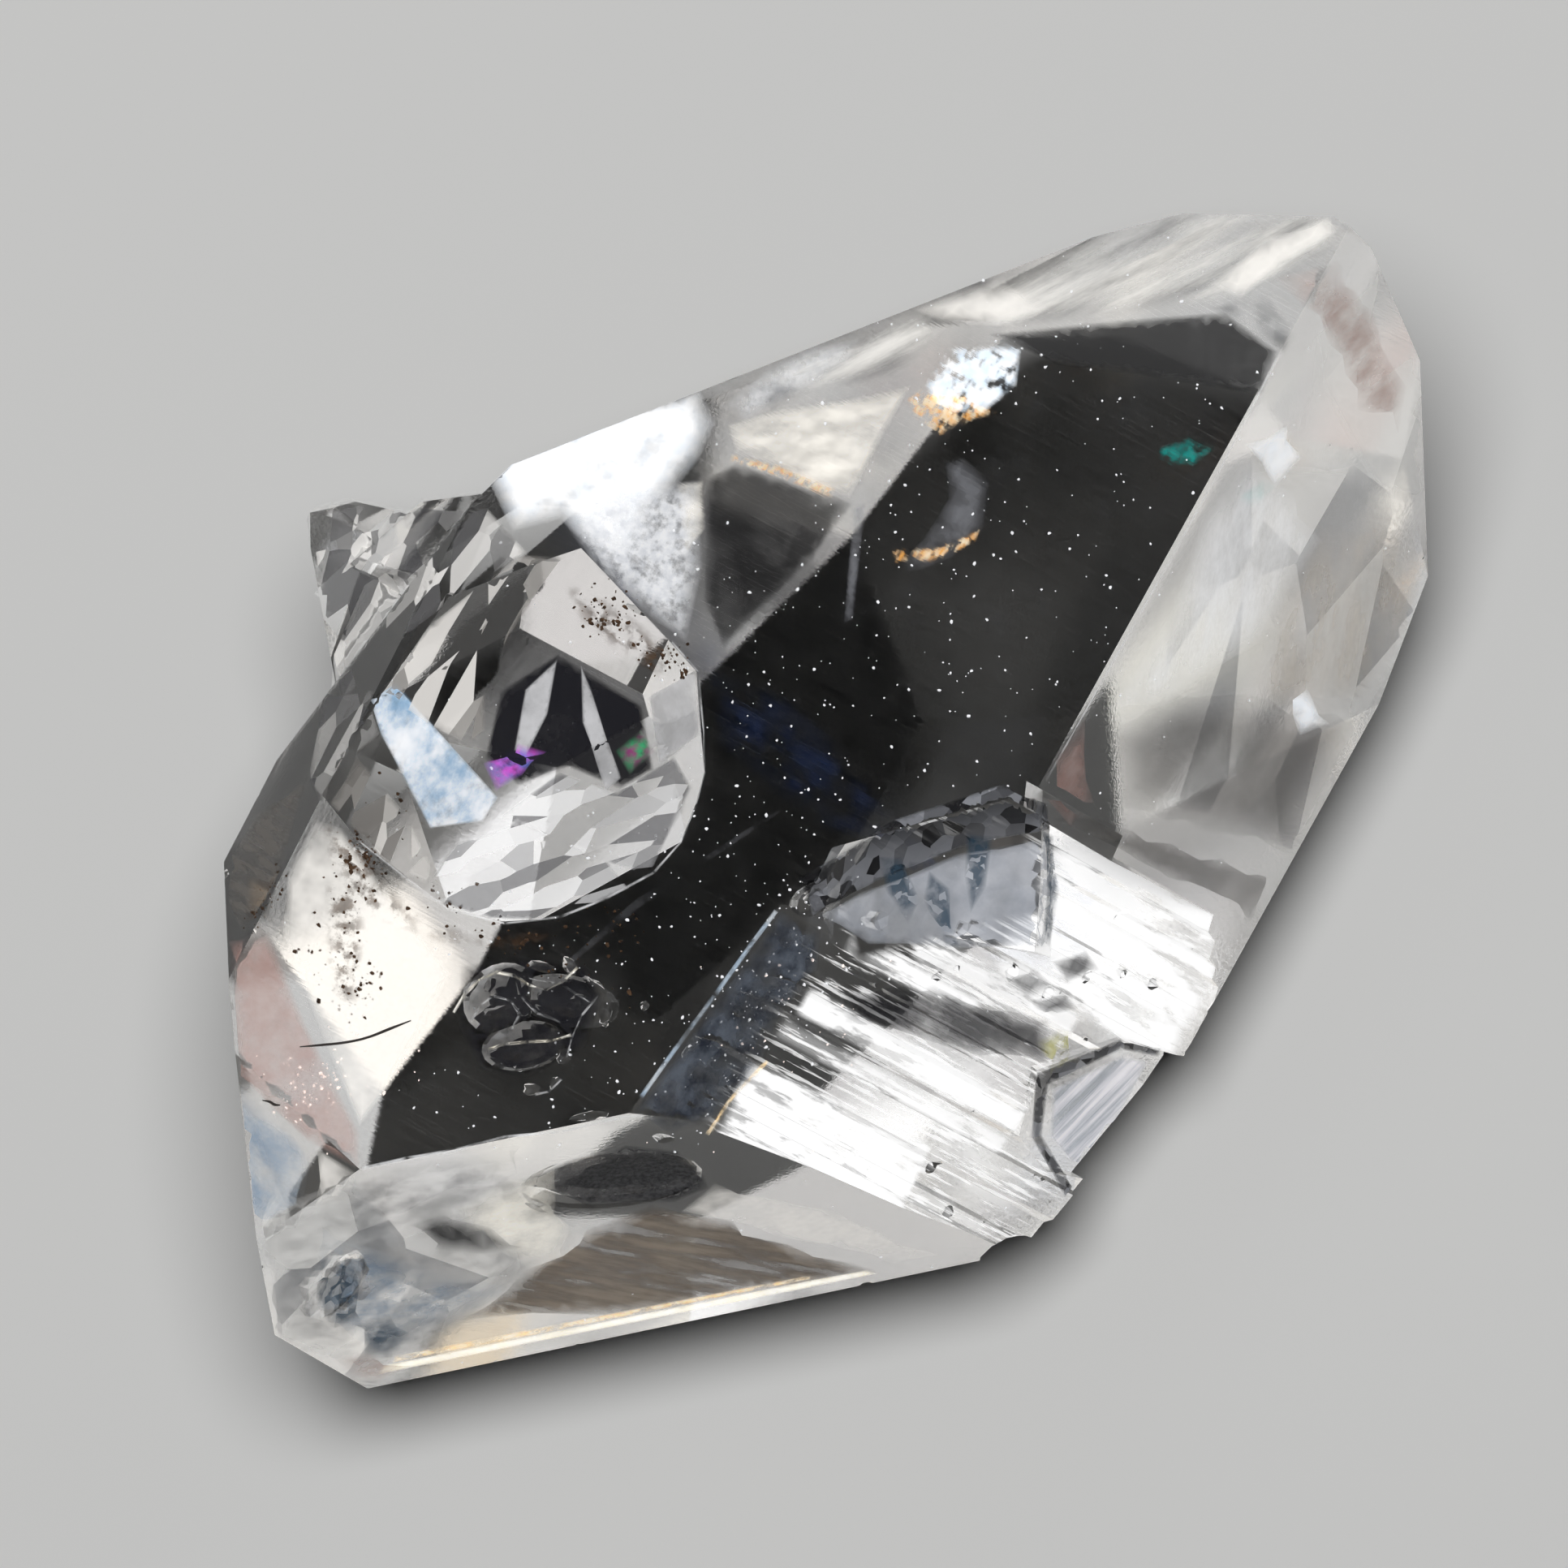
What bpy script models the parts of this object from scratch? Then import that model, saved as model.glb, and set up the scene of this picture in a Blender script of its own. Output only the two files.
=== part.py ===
"""Herkimer diamond: a clear, doubly ended quartz crystal with a smaller one grown on its left.

It lies on its flat back prism face, with the long c-axis along +Y and the large front
face up. Sizes are in millimetres until the mesh is lifted and scaled to metres at the end.
"""

import math
import random

import bmesh
import bpy
from mathutils import Matrix, Vector

metre = 0.001

# Main crystal: heights of the big front face and of the flat it rests on, before all is
# lifted to rest at zero, and the straight edges seen from the front.
front_z = 7.57
rest_z = -0.84
right_edge_x = 3.32
right_girdle_x = 6.88
left_girdle_x = -5.60
left_foot_x = -2.01
left_girdle_z = 6.22
right_foot_x = 1.60
prism_dip = 60.0

# Lower end: corner where the striated face, the front face and the end face meet.
lower_corner = (0.74, -4.81)
end_tip = (-2.01, -7.23)
lower_end_heading = -49.2
lower_end_dip = 63.0

# Upper end: point on the edge where its shallow back face turns up into the steeper ones.
upper_back_edge = (-0.17, 6.48, 0.17)

# Striated face: a subparallel prism face set back from the right-hand one.
stria_heading = -7.0
stria_dip = 48.4
stria_top = (1.38, -1.40)
stria_shelf_y = 1.19
stria_length = 6.2
stria_seed = 11
# Smooth bevel along its upper left: its dip, and how far it begins before the grooves.
bevel_dip = 36.0
bevel_lead = 0.27

# Small crystal: how far its flat top stands above the front face, and the depth of its root.
small_rise = 1.28
small_root_z = 5.5

# How far the groove cutter reaches out of the surface and past its ends.
groove_reach_out = 6.0
groove_half_run = 12.0


def facing(heading, dip):
    """Unit normal: heading anticlockwise from +X, dip from straight up."""
    turn, lean = math.radians(heading), math.radians(dip)
    return Vector((math.sin(lean) * math.cos(turn), math.sin(lean) * math.sin(turn), math.cos(lean)))


def cleave(mesh, heading, dip, through):
    """Cut away what lies outside the plane, and close the new face."""
    everything = mesh.verts[:] + mesh.edges[:] + mesh.faces[:]
    cut = bmesh.ops.bisect_plane(
        mesh, geom=everything, plane_co=Vector(through), plane_no=facing(heading, dip),
        clear_outer=True, dist=1e-6)
    rim = [item for item in cut["geom_cut"] if isinstance(item, bmesh.types.BMEdge)]
    if rim:
        bmesh.ops.holes_fill(mesh, edges=rim, sides=0)


def crystal(name, centre, size, facets, collection):
    """A block cleaved by facets given as name: (heading, dip, point)."""
    mesh = bmesh.new()
    bmesh.ops.create_cube(mesh, size=size, matrix=Matrix.Translation(centre))
    for heading, dip, through in facets.values():
        cleave(mesh, heading, dip, through)
    bmesh.ops.recalc_face_normals(mesh, faces=mesh.faces[:])
    return finished(name, mesh, collection)


def finished(name, mesh, collection):
    """Turn a bmesh in millimetres into an object in metres that rests at zero."""
    bmesh.ops.translate(mesh, vec=(0, 0, -rest_z), verts=mesh.verts[:])
    bmesh.ops.scale(mesh, vec=(metre, metre, metre), verts=mesh.verts[:])
    data = bpy.data.meshes.new(name)
    mesh.to_mesh(data)
    mesh.free()
    piece = bpy.data.objects.new(name, data)
    collection.objects.link(piece)
    return piece


def join_to(target, tool, operation):
    """Add a Boolean modifier that joins or cuts the target with the tool."""
    tool.hide_render = True
    tool.display_type = "WIRE"
    step = target.modifiers.new(tool.name, "BOOLEAN")
    step.operation = operation
    step.solver = "EXACT"
    step.object = tool


def main_crystal(collection):
    """The large crystal, from its six prism faces and the facets of its two ends."""
    top = front_z
    girdle_z = top - (right_girdle_x - right_edge_x) * math.tan(math.radians(prism_dip))
    right_slope = math.degrees(math.atan2(girdle_z - rest_z, right_girdle_x - right_foot_x))
    left_slope = math.degrees(math.atan2(left_girdle_z - rest_z, left_foot_x - left_girdle_x))
    facets = {
        "front": (0, 0, (0, 0, top)),
        "back": (0, 180, (0, 0, rest_z)),
        "right_front": (0, prism_dip, (right_edge_x, 0, top)),
        "right_back": (0, 180 - right_slope, (right_girdle_x, 0, girdle_z)),
        "right_back_low": (-20, 180 - right_slope, (right_foot_x, -0.40, rest_z)),
        "left_back": (181, 180 - left_slope, (left_foot_x, -5.77, rest_z)),
        "left_front": (182, prism_dip, (left_girdle_x, -4.49, left_girdle_z)),
        "lower_end": (lower_end_heading, lower_end_dip, (*lower_corner, top)),
        "lower_end_back": (lower_end_heading, 117, (-0.54, -9.90, 1.65)),
        "lower_back": (-75, 160, (-1.50, -4.20, rest_z)),
        "lower_tip": (-104, 38.2, (*end_tip, top)),
        "lower_left": (-146, 91, (-5.11, -5.36, top)),
        "lower_left_back": (-155, 109.6, (-2.04, -7.15, 0.05)),
        "lower_point": (-105, 97.5, (-2.19, -9.82, 3.90)),
        "upper_back": (50, 159, upper_back_edge),
        "upper_band": (104.8, 125, upper_back_edge),
        "upper_left_end": (117.7, 92, (1.15, 8.94, top)),
        "upper_left": (142, 130.9, upper_back_edge),
        "upper_left_wall": (140.4, 92, (-4.79, 1.86, top)),
        "upper_tip_back": (91.2, 125, (2.49, 8.14, 1.31)),
        "upper_left_corner": (134, 95, (0.46, 8.20, top)),
        "upper_tip": (91.7, 112.1, (3.55, 9.98, 7.18)),
        "upper_tip_cap": (88, 96, (3.20, 9.95, top)),
        "upper_right_end": (58.5, 114.3, (5.05, 8.97, 4.58)),
        "upper_right_corner": (75, 105, (4.30, 9.55, 5.87)),
        "upper_right": (52, 114.5, (6.53, 6.72, 2.01)),
        "left_shoulder": (163.2, 114, (-5.10, 0.84, top)),
    }
    return crystal("quartz_crystal", (0, 0, 0), 60, facets, collection)


def small_crystal(collection):
    """The smaller crystal, nearly parallel to the large one and sunk into its left side."""
    top = front_z + small_rise
    facets = {
        "table": (0, 0, (0, 0, top)),
        "upper_face": (91, 40, (-2.70, 0.04, top)),
        "upper_right_face": (45, 52, (-1.55, -0.21, top)),
        "right_face": (14, 58, (-1.36, -0.78, top)),
        "lower_right_face": (-74, 31, (-1.90, -1.21, top)),
        "lower_mid_face": (-32, 38, (-2.58, -1.73, top)),
        "lower_left_face": (-108, 27, (-3.73, -1.82, top)),
        "lower_left_steep": (-98, 42, (-3.73, -2.47, top - 0.36)),
        "left_face": (147, 44, (-4.13, -0.73, top)),
        "side_top": (72, 92, (-2.39, 1.03, top)),
        "side_top_left": (140, 93, (-3.73, 1.11, top)),
        "side_upper_right": (33, 88, (-1.08, 0.18, top)),
        "side_right": (8, 86, (-0.56, -1.20, top)),
        "side_lower_right": (-58, 86, (-0.80, -2.61, top)),
        "side_bottom": (-80, 88, (-2.00, -3.50, top)),
        "side_lower_left": (-112, 88, (-4.00, -3.46, top)),
        "side_left": (176, 92, (-4.83, -2.00, top)),
        "foot": (0, 180, (0, 0, small_root_z)),
    }
    return crystal("small_crystal", (-2.7, -1.2, top - 6), 16, facets, collection)


def broken_bits(collection):
    """Three shards of a broken crystal that stick out on the left."""
    shards = {
        "shard_point": ((-5.3, 0.0, 5.4), {
            "upper": (84, 42, (-5.67, 0.03, 6.35)),
            "lower": (-112, 38, (-5.67, 0.03, 6.35)),
            "tip_blunt": (178, 90, (-6.88, 0.05, 5.6)),
            "tip_upper": (133, 86, (-6.60, 0.30, 5.6)),
            "top_edge": (106, 88, (-6.14, 0.53, 5.6)),
            "tip_lower": (-149, 86, (-6.34, -0.90, 5.6)),
            "side_lower": (-141, 90, (-5.79, -1.43, 5.0)),
            "end": (20, 90, (-3.9, 0, 5.4)),
            "under": (185, 148, (-6.4, 0.0, 4.6)),
            "base": (0, 180, (0, 0, 3.5)),
        }),
        "shard_upper": ((-4.9, 0.4, 5.6), {
            "cap": (60, 12, (-4.9, 0.6, 7.25)),
            "ridge_left": (158, 48, (-5.25, 0.70, 6.85)),
            "ridge_right": (22, 30, (-5.05, 0.70, 7.05)),
            "head": (127, 88, (-5.48, 0.97, 6.4)),
            "head_top": (100, 80, (-4.75, 1.45, 6.4)),
            "head_left": (160, 88, (-5.68, 0.74, 6.2)),
            "tail": (-95, 72, (-5.0, -0.30, 6.4)),
            "end": (-20, 90, (-4.2, 0.6, 5.6)),
            "base": (0, 180, (0, 0, 4.2)),
        }),
        "shard_lower": ((-5.1, -1.0, 4.9), {
            "ridge_left": (188, 52, (-5.66, -0.70, 6.05)),
            "ridge_right": (-28, 40, (-5.52, -0.95, 6.25)),
            "side": (-141, 86, (-5.79, -1.43, 5.0)),
            "foot": (-175, 92, (-5.56, -2.2, 4.5)),
            "tail": (-98, 80, (-5.2, -2.55, 5.2)),
            "head": (84, 66, (-5.5, -0.28, 6.05)),
            "end": (0, 90, (-4.3, -1.2, 5.0)),
            "base": (160, 150, (-5.9, -1.4, 3.9)),
        }),
    }
    return [crystal(name, centre, 8, facets, collection) for name, (centre, facets) in shards.items()]


def on_face(x, y, heading, dip, corner):
    """Point above x, y on the face that meets the front face at the corner."""
    normal = facing(heading, dip)
    run = (x - corner[0]) * normal.x + (y - corner[1]) * normal.y
    return (x, y, front_z - run / normal.z)


def stria_profile():
    """Outline across the striated face: long ledges and short risers, seeded."""
    chance = random.Random(stria_seed)
    along, depth = 0.0, 0.0
    points = [(along, depth)]
    while along < stria_length - 0.55:
        tread = chance.uniform(0.10, 0.42)
        riser = chance.uniform(0.025, 0.075)
        rising = depth < -0.12 or (depth < 0.10 and chance.random() < 0.5)
        along += tread
        points.append((along, depth))
        depth += riser if rising else -riser
        along += riser * 1.27
        points.append((along, depth))
    points.append((stria_length, depth))
    return points


def extruded(name, outline, half, frame, collection):
    """A flat closed outline given thickness and laid in the given frame."""
    curve = bpy.data.curves.new(name, "CURVE")
    curve.dimensions = "2D"
    curve.fill_mode = "BOTH"
    curve.extrude = half
    spline = curve.splines.new("POLY")
    spline.points.add(len(outline) - 1)
    for point, (across, up) in zip(spline.points, outline):
        point.co = (across, up, 0, 1)
    spline.use_cyclic_u = True
    sketch = bpy.data.objects.new(name + "_sketch", curve)
    collection.objects.link(sketch)
    evaluated = sketch.evaluated_get(bpy.context.evaluated_depsgraph_get())
    mesh = bmesh.new()
    mesh.from_mesh(bpy.data.meshes.new_from_object(evaluated))
    bpy.data.objects.remove(sketch)
    bmesh.ops.remove_doubles(mesh, verts=mesh.verts[:], dist=1e-5)
    bmesh.ops.transform(mesh, matrix=frame, verts=mesh.verts[:])
    bmesh.ops.recalc_face_normals(mesh, faces=mesh.faces[:])
    return mesh


def axes(across, up, origin):
    """Frame whose X and Y run along the given directions, at the origin."""
    first, second = across.normalized(), up.normalized()
    third = first.cross(second)
    rows = Matrix((first, second, third)).transposed().to_4x4()
    return Matrix.Translation(origin) @ rows


def stria_frame():
    """Normal of the striated face, the run of its grooves, and the way across them."""
    normal = facing(stria_heading, stria_dip)
    run = Vector((normal.z, 0, -normal.x)).normalized()
    return normal, run, run.cross(normal).normalized()


def stria_cutter(collection):
    """Cuts the set-back face with its striations, clear of the corner that the chip takes."""
    normal, run, across = stria_frame()
    start = Vector((*stria_top, front_z)) - across * (stria_shelf_y - stria_top[1]) / abs(across.y)
    outline = stria_profile() + [(stria_length, groove_reach_out), (0, groove_reach_out)]
    mesh = extruded("stria_cutter", outline, groove_half_run, axes(across, normal, start), collection)
    cleave(mesh, 90, 90, (0, stria_shelf_y, 0))
    return finished("stria_cutter", mesh, collection)


def stria_bevel(collection):
    """Cuts the smooth strip between the front face and the ends of the grooves."""
    start = (stria_top[0] - bevel_lead, stria_top[1], front_z)
    slope = (stria_heading + 180, 180 - bevel_dip, start)
    return crystal("stria_bevel", (2.0, -3.0, front_z), 9, {"slope": slope}, collection)


def chip_corner(collection):
    """The corner above the striated face that the chip hollows out instead."""
    facets = {
        "below": (-70.5, 88, (1.21, -1.45, front_z)),
        "beyond": (22.6, 80, (4.02, 0.30, 5.6)),
    }
    return crystal("chip_corner", (2.0, 1.0, 6.0), 9, facets, collection)


def pebble(name, centre, radii, collection, turn=0.0, heading=0.0, dip=0.0, facets=(), steps=20):
    """A rounded cutter, its short axis along the heading and dip, for shell-like breaks."""
    mesh = bmesh.new()
    bmesh.ops.create_uvsphere(mesh, u_segments=steps, v_segments=steps // 2, radius=1.0)
    spin = Matrix.Rotation(math.radians(heading), 4, "Z") @ Matrix.Rotation(math.radians(dip), 4, "Y")
    frame = Matrix.Translation(centre) @ spin @ Matrix.Rotation(math.radians(turn), 4, "Z")
    bmesh.ops.transform(mesh, matrix=frame @ Matrix.Diagonal((*radii, 1)), verts=mesh.verts[:])
    for facet in facets:
        cleave(mesh, *facet)
    return finished(name, mesh, collection)


def window_cutter(collection):
    """The five-sided re-entrant window low on the right, with its flat floor."""
    normal, run, across = stria_frame()
    middle = Vector(on_face(5.92, -1.85, stria_heading, stria_dip, stria_top))
    corners = [(6.01, -0.89), (5.25, -1.80), (5.55, -2.70), (6.19, -2.94), (7.30, -2.60), (7.20, -0.60)]
    outline = [((y - middle.y) / across.y, (x - middle.x) / run.x) for x, y in corners]
    floor_depth = 0.32
    mesh = extruded("window_cutter", outline, 0.6, axes(across, run, middle), collection)
    bmesh.ops.translate(mesh, vec=normal * (0.6 - floor_depth), verts=mesh.verts[:])
    return finished("window_cutter", mesh, collection)


def on_lower_end(x, y):
    """Point of the lower end face above x, y."""
    return on_face(x, y, lower_end_heading, lower_end_dip, lower_corner)


def breaks(collection):
    """Chips, pits and hollows that are cut into the grown crystal."""
    top = front_z
    chip_wall = [(134.5, 90, (2.03, 0.18, top)), (90, 90, (0, stria_shelf_y, top))]
    leaf = {"heading": lower_end_heading, "dip": lower_end_dip}
    return [
        pebble("chip", (4.30, -0.55, top + 1.28), (3.2, 3.2, 3.5), collection, facets=chip_wall, steps=40),
        pebble("chip_grain", (1.72, -1.12, top + 0.05), (0.62, 0.34, 0.55), collection, turn=35),
        pebble("hollow_upper", (-0.72, -3.95, top + 0.10), (0.72, 0.36, 0.34), collection, turn=18),
        pebble("hollow_left", (-1.52, -4.35, top + 0.12), (0.46, 0.55, 0.40), collection, turn=-25),
        pebble("hollow_lower", (-0.95, -4.75, top + 0.16), (0.62, 0.36, 0.40), collection, turn=38),
        pebble("leaf_hollow", on_lower_end(0.93, -5.78), (0.80, 1.25, 0.16), collection, turn=-22, **leaf),
        pebble("bubble_hollow", on_lower_end(-1.62, -8.83), (0.34, 0.95, 0.26), collection,
               turn=68, **leaf),
        pebble("side_notch", (6.34, -4.29, 1.2), (0.58, 0.50, 2.4), collection, turn=20, steps=14),
    ]


def quartz():
    """Clear, colourless quartz."""
    material = bpy.data.materials.new("clear_quartz")
    material.use_nodes = True
    surface = material.node_tree.nodes["Principled BSDF"]
    surface.inputs["Base Color"].default_value = (0.93, 0.94, 0.95, 1)
    surface.inputs["Roughness"].default_value = 0.02
    surface.inputs["Metallic"].default_value = 0.0
    surface.inputs["IOR"].default_value = 1.544
    surface.inputs["Transmission Weight"].default_value = 1.0
    return material


def main():
    for old in list(bpy.data.objects):
        bpy.data.objects.remove(old)
    scene = bpy.context.scene
    parts = bpy.data.collections.new("herkimer_diamond")
    cutters = bpy.data.collections.new("cutters")
    scene.collection.children.link(parts)
    scene.collection.children.link(cutters)

    gem = main_crystal(parts)
    gem.data.materials.append(quartz())
    grooves = stria_cutter(cutters)
    join_to(grooves, stria_bevel(cutters), "UNION")
    join_to(grooves, chip_corner(cutters), "DIFFERENCE")
    join_to(gem, grooves, "DIFFERENCE")
    join_to(gem, window_cutter(cutters), "DIFFERENCE")
    for tool in breaks(cutters):
        join_to(gem, tool, "DIFFERENCE")
    for grown in broken_bits(cutters) + [small_crystal(cutters)]:
        join_to(gem, grown, "UNION")


main()
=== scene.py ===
import math
import random

import bmesh
import bpy
from mathutils import Matrix, Vector, geometry, noise
from mathutils.bvhtree import BVHTree


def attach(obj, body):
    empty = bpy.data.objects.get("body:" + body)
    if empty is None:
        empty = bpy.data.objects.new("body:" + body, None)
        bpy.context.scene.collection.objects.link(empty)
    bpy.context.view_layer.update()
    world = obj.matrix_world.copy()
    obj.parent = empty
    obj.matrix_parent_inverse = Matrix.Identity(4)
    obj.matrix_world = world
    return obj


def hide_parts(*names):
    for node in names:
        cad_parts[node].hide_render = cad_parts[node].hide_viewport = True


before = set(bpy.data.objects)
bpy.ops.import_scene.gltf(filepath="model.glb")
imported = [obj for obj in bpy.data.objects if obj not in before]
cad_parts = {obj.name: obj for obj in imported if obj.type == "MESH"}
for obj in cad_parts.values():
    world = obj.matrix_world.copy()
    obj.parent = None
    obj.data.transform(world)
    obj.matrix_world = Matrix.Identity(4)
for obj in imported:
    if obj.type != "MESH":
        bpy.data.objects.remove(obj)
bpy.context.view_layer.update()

mm = 0.001
snug = 0.998 * mm  # the crystal is drawn a hair small, which keeps the skins, specks and lint on it inside the part's box
frontZ = 8.41      # mm, height of the big front face over the floor
overTop = 20       # mm, a height that is well above the crystal
anyTurn = 6.3      # radians, once round
scene = bpy.context.scene


def facing(heading, dip):
    turn, lean = math.radians(heading), math.radians(dip)
    return Vector((math.sin(lean) * math.cos(turn), math.sin(lean) * math.sin(turn), math.cos(lean)))


# objectFrom: a shape drawn in mm becomes an object in metres, or stays in mm while it is being cut
def objectFrom(name, shape, material, unit=snug):
    bmesh.ops.scale(shape, vec=(unit, unit, unit), verts=shape.verts[:])
    mesh = bpy.data.meshes.new(name)
    shape.to_mesh(mesh)
    shape.free()
    piece = bpy.data.objects.new(name, mesh)
    scene.collection.objects.link(piece)
    if material:
        mesh.materials.append(material)
    return piece


def onCrystal(piece):
    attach(piece, "root")
    return piece


# nodes: short ways to add a node with its links and values
def nodeIn(tree, kind, inputs=None, **settings):
    made = tree.nodes.new(kind)
    for key, value in settings.items():
        setattr(made, key, value)
    for key, value in (inputs or {}).items():
        socket = made.inputs[key]
        if isinstance(value, bpy.types.NodeSocket):
            tree.links.new(value, socket)
        else:
            socket.default_value = value
    return made


def reckon(tree, how, first, second, **settings):
    return nodeIn(tree, "ShaderNodeMath", {0: first, 1: second}, operation=how, **settings).outputs[0]


def times(tree, first, second):
    return reckon(tree, "MULTIPLY", first, second)


def vectors(tree, how, first, second):
    return nodeIn(tree, "ShaderNodeVectorMath", {0: first, 1: second}, operation=how).outputs["Vector"]


def spun(tree, vector, angle):
    return nodeIn(tree, "ShaderNodeVectorRotate", {"Vector": vector, "Angle": angle},
                  rotation_type="Z_AXIS").outputs["Vector"]


def blend(tree, share, first, second):
    return nodeIn(tree, "ShaderNodeMix", {"Factor": share, "A": first, "B": second},
                  data_type="RGBA").outputs["Result"]


def remap(tree, value, low, high, toLow=0.0, toHigh=1.0):
    return nodeIn(tree, "ShaderNodeMapRange", {
        "Value": value, "From Min": low, "From Max": high, "To Min": toLow, "To Max": toHigh,
    }, interpolation_type="SMOOTHSTEP").outputs["Result"]


def newGroup(name, ins, outs):
    group = bpy.data.node_groups.new(name, "ShaderNodeTree")
    for label, kind, value in ins:
        socket = group.interface.new_socket(name=label, in_out="INPUT", socket_type=kind)
        socket.default_value = value
    for label, kind in outs:
        group.interface.new_socket(name=label, in_out="OUTPUT", socket_type=kind)
    given, result = group.nodes.new("NodeGroupInput"), group.nodes.new("NodeGroupOutput")
    return group, given.outputs, result.inputs


# millimetres: where a point of the surface is, in mm, turned and then stretched by a vector
def makeMillimetres():
    group, given, result = newGroup("millimetres", [
        ("Stretch", "NodeSocketVector", (1, 1, 1)), ("Turn", "NodeSocketFloat", 0.0),
    ], [("Vector", "NodeSocketVector")])
    where = nodeIn(group, "ShaderNodeTexCoord")
    scaled = nodeIn(group, "ShaderNodeVectorMath", {0: where.outputs["Object"], "Scale": 1 / mm},
                    operation="SCALE")
    turned = spun(group, scaled.outputs["Vector"], given["Turn"])
    group.links.new(vectors(group, "MULTIPLY", turned, given["Stretch"]), result["Vector"])
    return group


# cloudMask: soft or hard edged patches
def makeCloudMask():
    group, given, result = newGroup("cloudMask", [
        ("Stretch", "NodeSocketVector", (1, 1, 1)), ("Turn", "NodeSocketFloat", 0.0),
        ("Scale", "NodeSocketFloat", 2.0), ("Detail", "NodeSocketFloat", 5.0),
        ("Low", "NodeSocketFloat", 0.45), ("High", "NodeSocketFloat", 0.6),
    ], [("Mask", "NodeSocketFloat")])
    where = nodeIn(group, "ShaderNodeGroup", {"Stretch": given["Stretch"], "Turn": given["Turn"]},
                   node_tree=millimetres)
    cloud = nodeIn(group, "ShaderNodeTexNoise", {
        "Vector": where.outputs["Vector"], "Scale": given["Scale"], "Detail": given["Detail"],
        "Roughness": 0.6})
    group.links.new(remap(group, cloud.outputs["Fac"], given["Low"], given["High"]), result["Mask"])
    return group


# zoneMask: 1 inside a slanted box seen from the front, fading over a soft rim
def makeZoneMask():
    group, given, result = newGroup("zoneMask", [
        ("Centre", "NodeSocketVector", (0, 0, 0)), ("Turn", "NodeSocketFloat", 0.0),
        ("Half", "NodeSocketVector", (1, 1, 0)), ("Soft", "NodeSocketFloat", 0.3),
    ], [("Mask", "NodeSocketFloat")])
    where = nodeIn(group, "ShaderNodeGroup", node_tree=millimetres).outputs["Vector"]
    turned = spun(group, vectors(group, "SUBTRACT", where, given["Centre"]), given["Turn"])
    size = nodeIn(group, "ShaderNodeVectorMath", {0: turned}, operation="ABSOLUTE").outputs["Vector"]
    split = nodeIn(group, "ShaderNodeSeparateXYZ", {0: vectors(group, "SUBTRACT", size, given["Half"])})
    sides = []
    for axis in ("X", "Y"):
        share = reckon(group, "DIVIDE", split.outputs[axis], given["Soft"])
        sides.append(remap(group, share, 0.5, -0.5))
    group.links.new(times(group, *sides), result["Mask"])
    return group


millimetres = makeMillimetres()
cloudMask = makeCloudMask()
zoneMask = makeZoneMask()


def clouds(tree, stretch=(1, 1, 1), scale=2.0, low=0.45, high=0.6, detail=5.0, turn=0.0):
    return nodeIn(tree, "ShaderNodeGroup", {
        "Stretch": stretch, "Turn": -math.radians(turn), "Scale": scale, "Detail": detail, "Low": low,
        "High": high}, node_tree=cloudMask).outputs["Mask"]


def zone(tree, centre, half, soft=0.3, turn=0.0):
    return nodeIn(tree, "ShaderNodeGroup", {
        "Centre": (*centre, 0), "Half": (*half, 0), "Soft": soft, "Turn": math.radians(turn),
    }, node_tree=zoneMask).outputs["Mask"]


def newMaterial(name, values):
    material = bpy.data.materials.new(name)
    material.use_nodes = True
    tree = material.node_tree
    surface = tree.nodes["Principled BSDF"]
    for key, value in values.items():
        surface.inputs[key].default_value = value
    return material, tree, surface


# gem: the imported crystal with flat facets, nicked edges, ragged breaks and fine growth lines
gemLook = {
    "sameSpot": 0.0005,  # mm
    "flatWithin": 0.35,  # degrees between triangles of one facet
    "nicks": 90,
    "nickSeed": 5,
    "nickSize": (0.03, 0.11),  # mm, the least and what the largest adds to it
    "nickLong": (1.0, 2.2),  # its half lengths as shares of that size
    "nickWide": (0.7, 1.1),
    "nickDeep": 0.8,
    "nickOff": 0.62,  # share of its size that its rock stands off the edge
    "alongEdge": (0.04, 0.96),  # shares of an edge between which it can be nicked
    "sharpFrom": 24.0,  # degrees across an edge that can be nicked
    "longFrom": 0.5,  # mm, its least length
    "stria": (-7.0, 48.4),  # heading and dip of the striated face
    "breakDepth": 0.7,  # share of a break's smaller half size
    "breakOff": 0.35,  # share of that depth that its rock stands off the face
    "breakRough": 0.45,
    "breakSeed": 40,
    "fineLines": {"stretch": (0.35, 14, 14), "scale": 1.3, "low": 0.35, "high": 0.65, "detail": 4},
    "broadLines": {"stretch": (0.5, 2.2, 2.2), "scale": 0.8, "low": 0.3, "high": 0.7, "detail": 2},
    "lineStrength": 0.25,
    "lineDepth": 0.002,  # mm
    "haze": {"scale": 1.1, "low": 0.4, "high": 0.75},
    "hazeRoughness": 0.05,
}


def facetedCopy(source):
    shape = bmesh.new()
    shape.from_mesh(source.data)
    bmesh.ops.scale(shape, vec=(1 / mm, 1 / mm, 1 / mm), verts=shape.verts[:])
    bmesh.ops.remove_doubles(shape, verts=shape.verts[:], dist=gemLook["sameSpot"])
    bmesh.ops.dissolve_limit(shape, angle_limit=math.radians(gemLook["flatWithin"]),
                             verts=shape.verts[:], edges=shape.edges[:])
    bmesh.ops.recalc_face_normals(shape, faces=shape.faces[:])
    for face in shape.faces:
        face.smooth = False
    return shape


lumps = {"scale": 1.7, "shift": (3.1, 1.7, 1)}  # the shift gives every rock its own lumps


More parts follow.
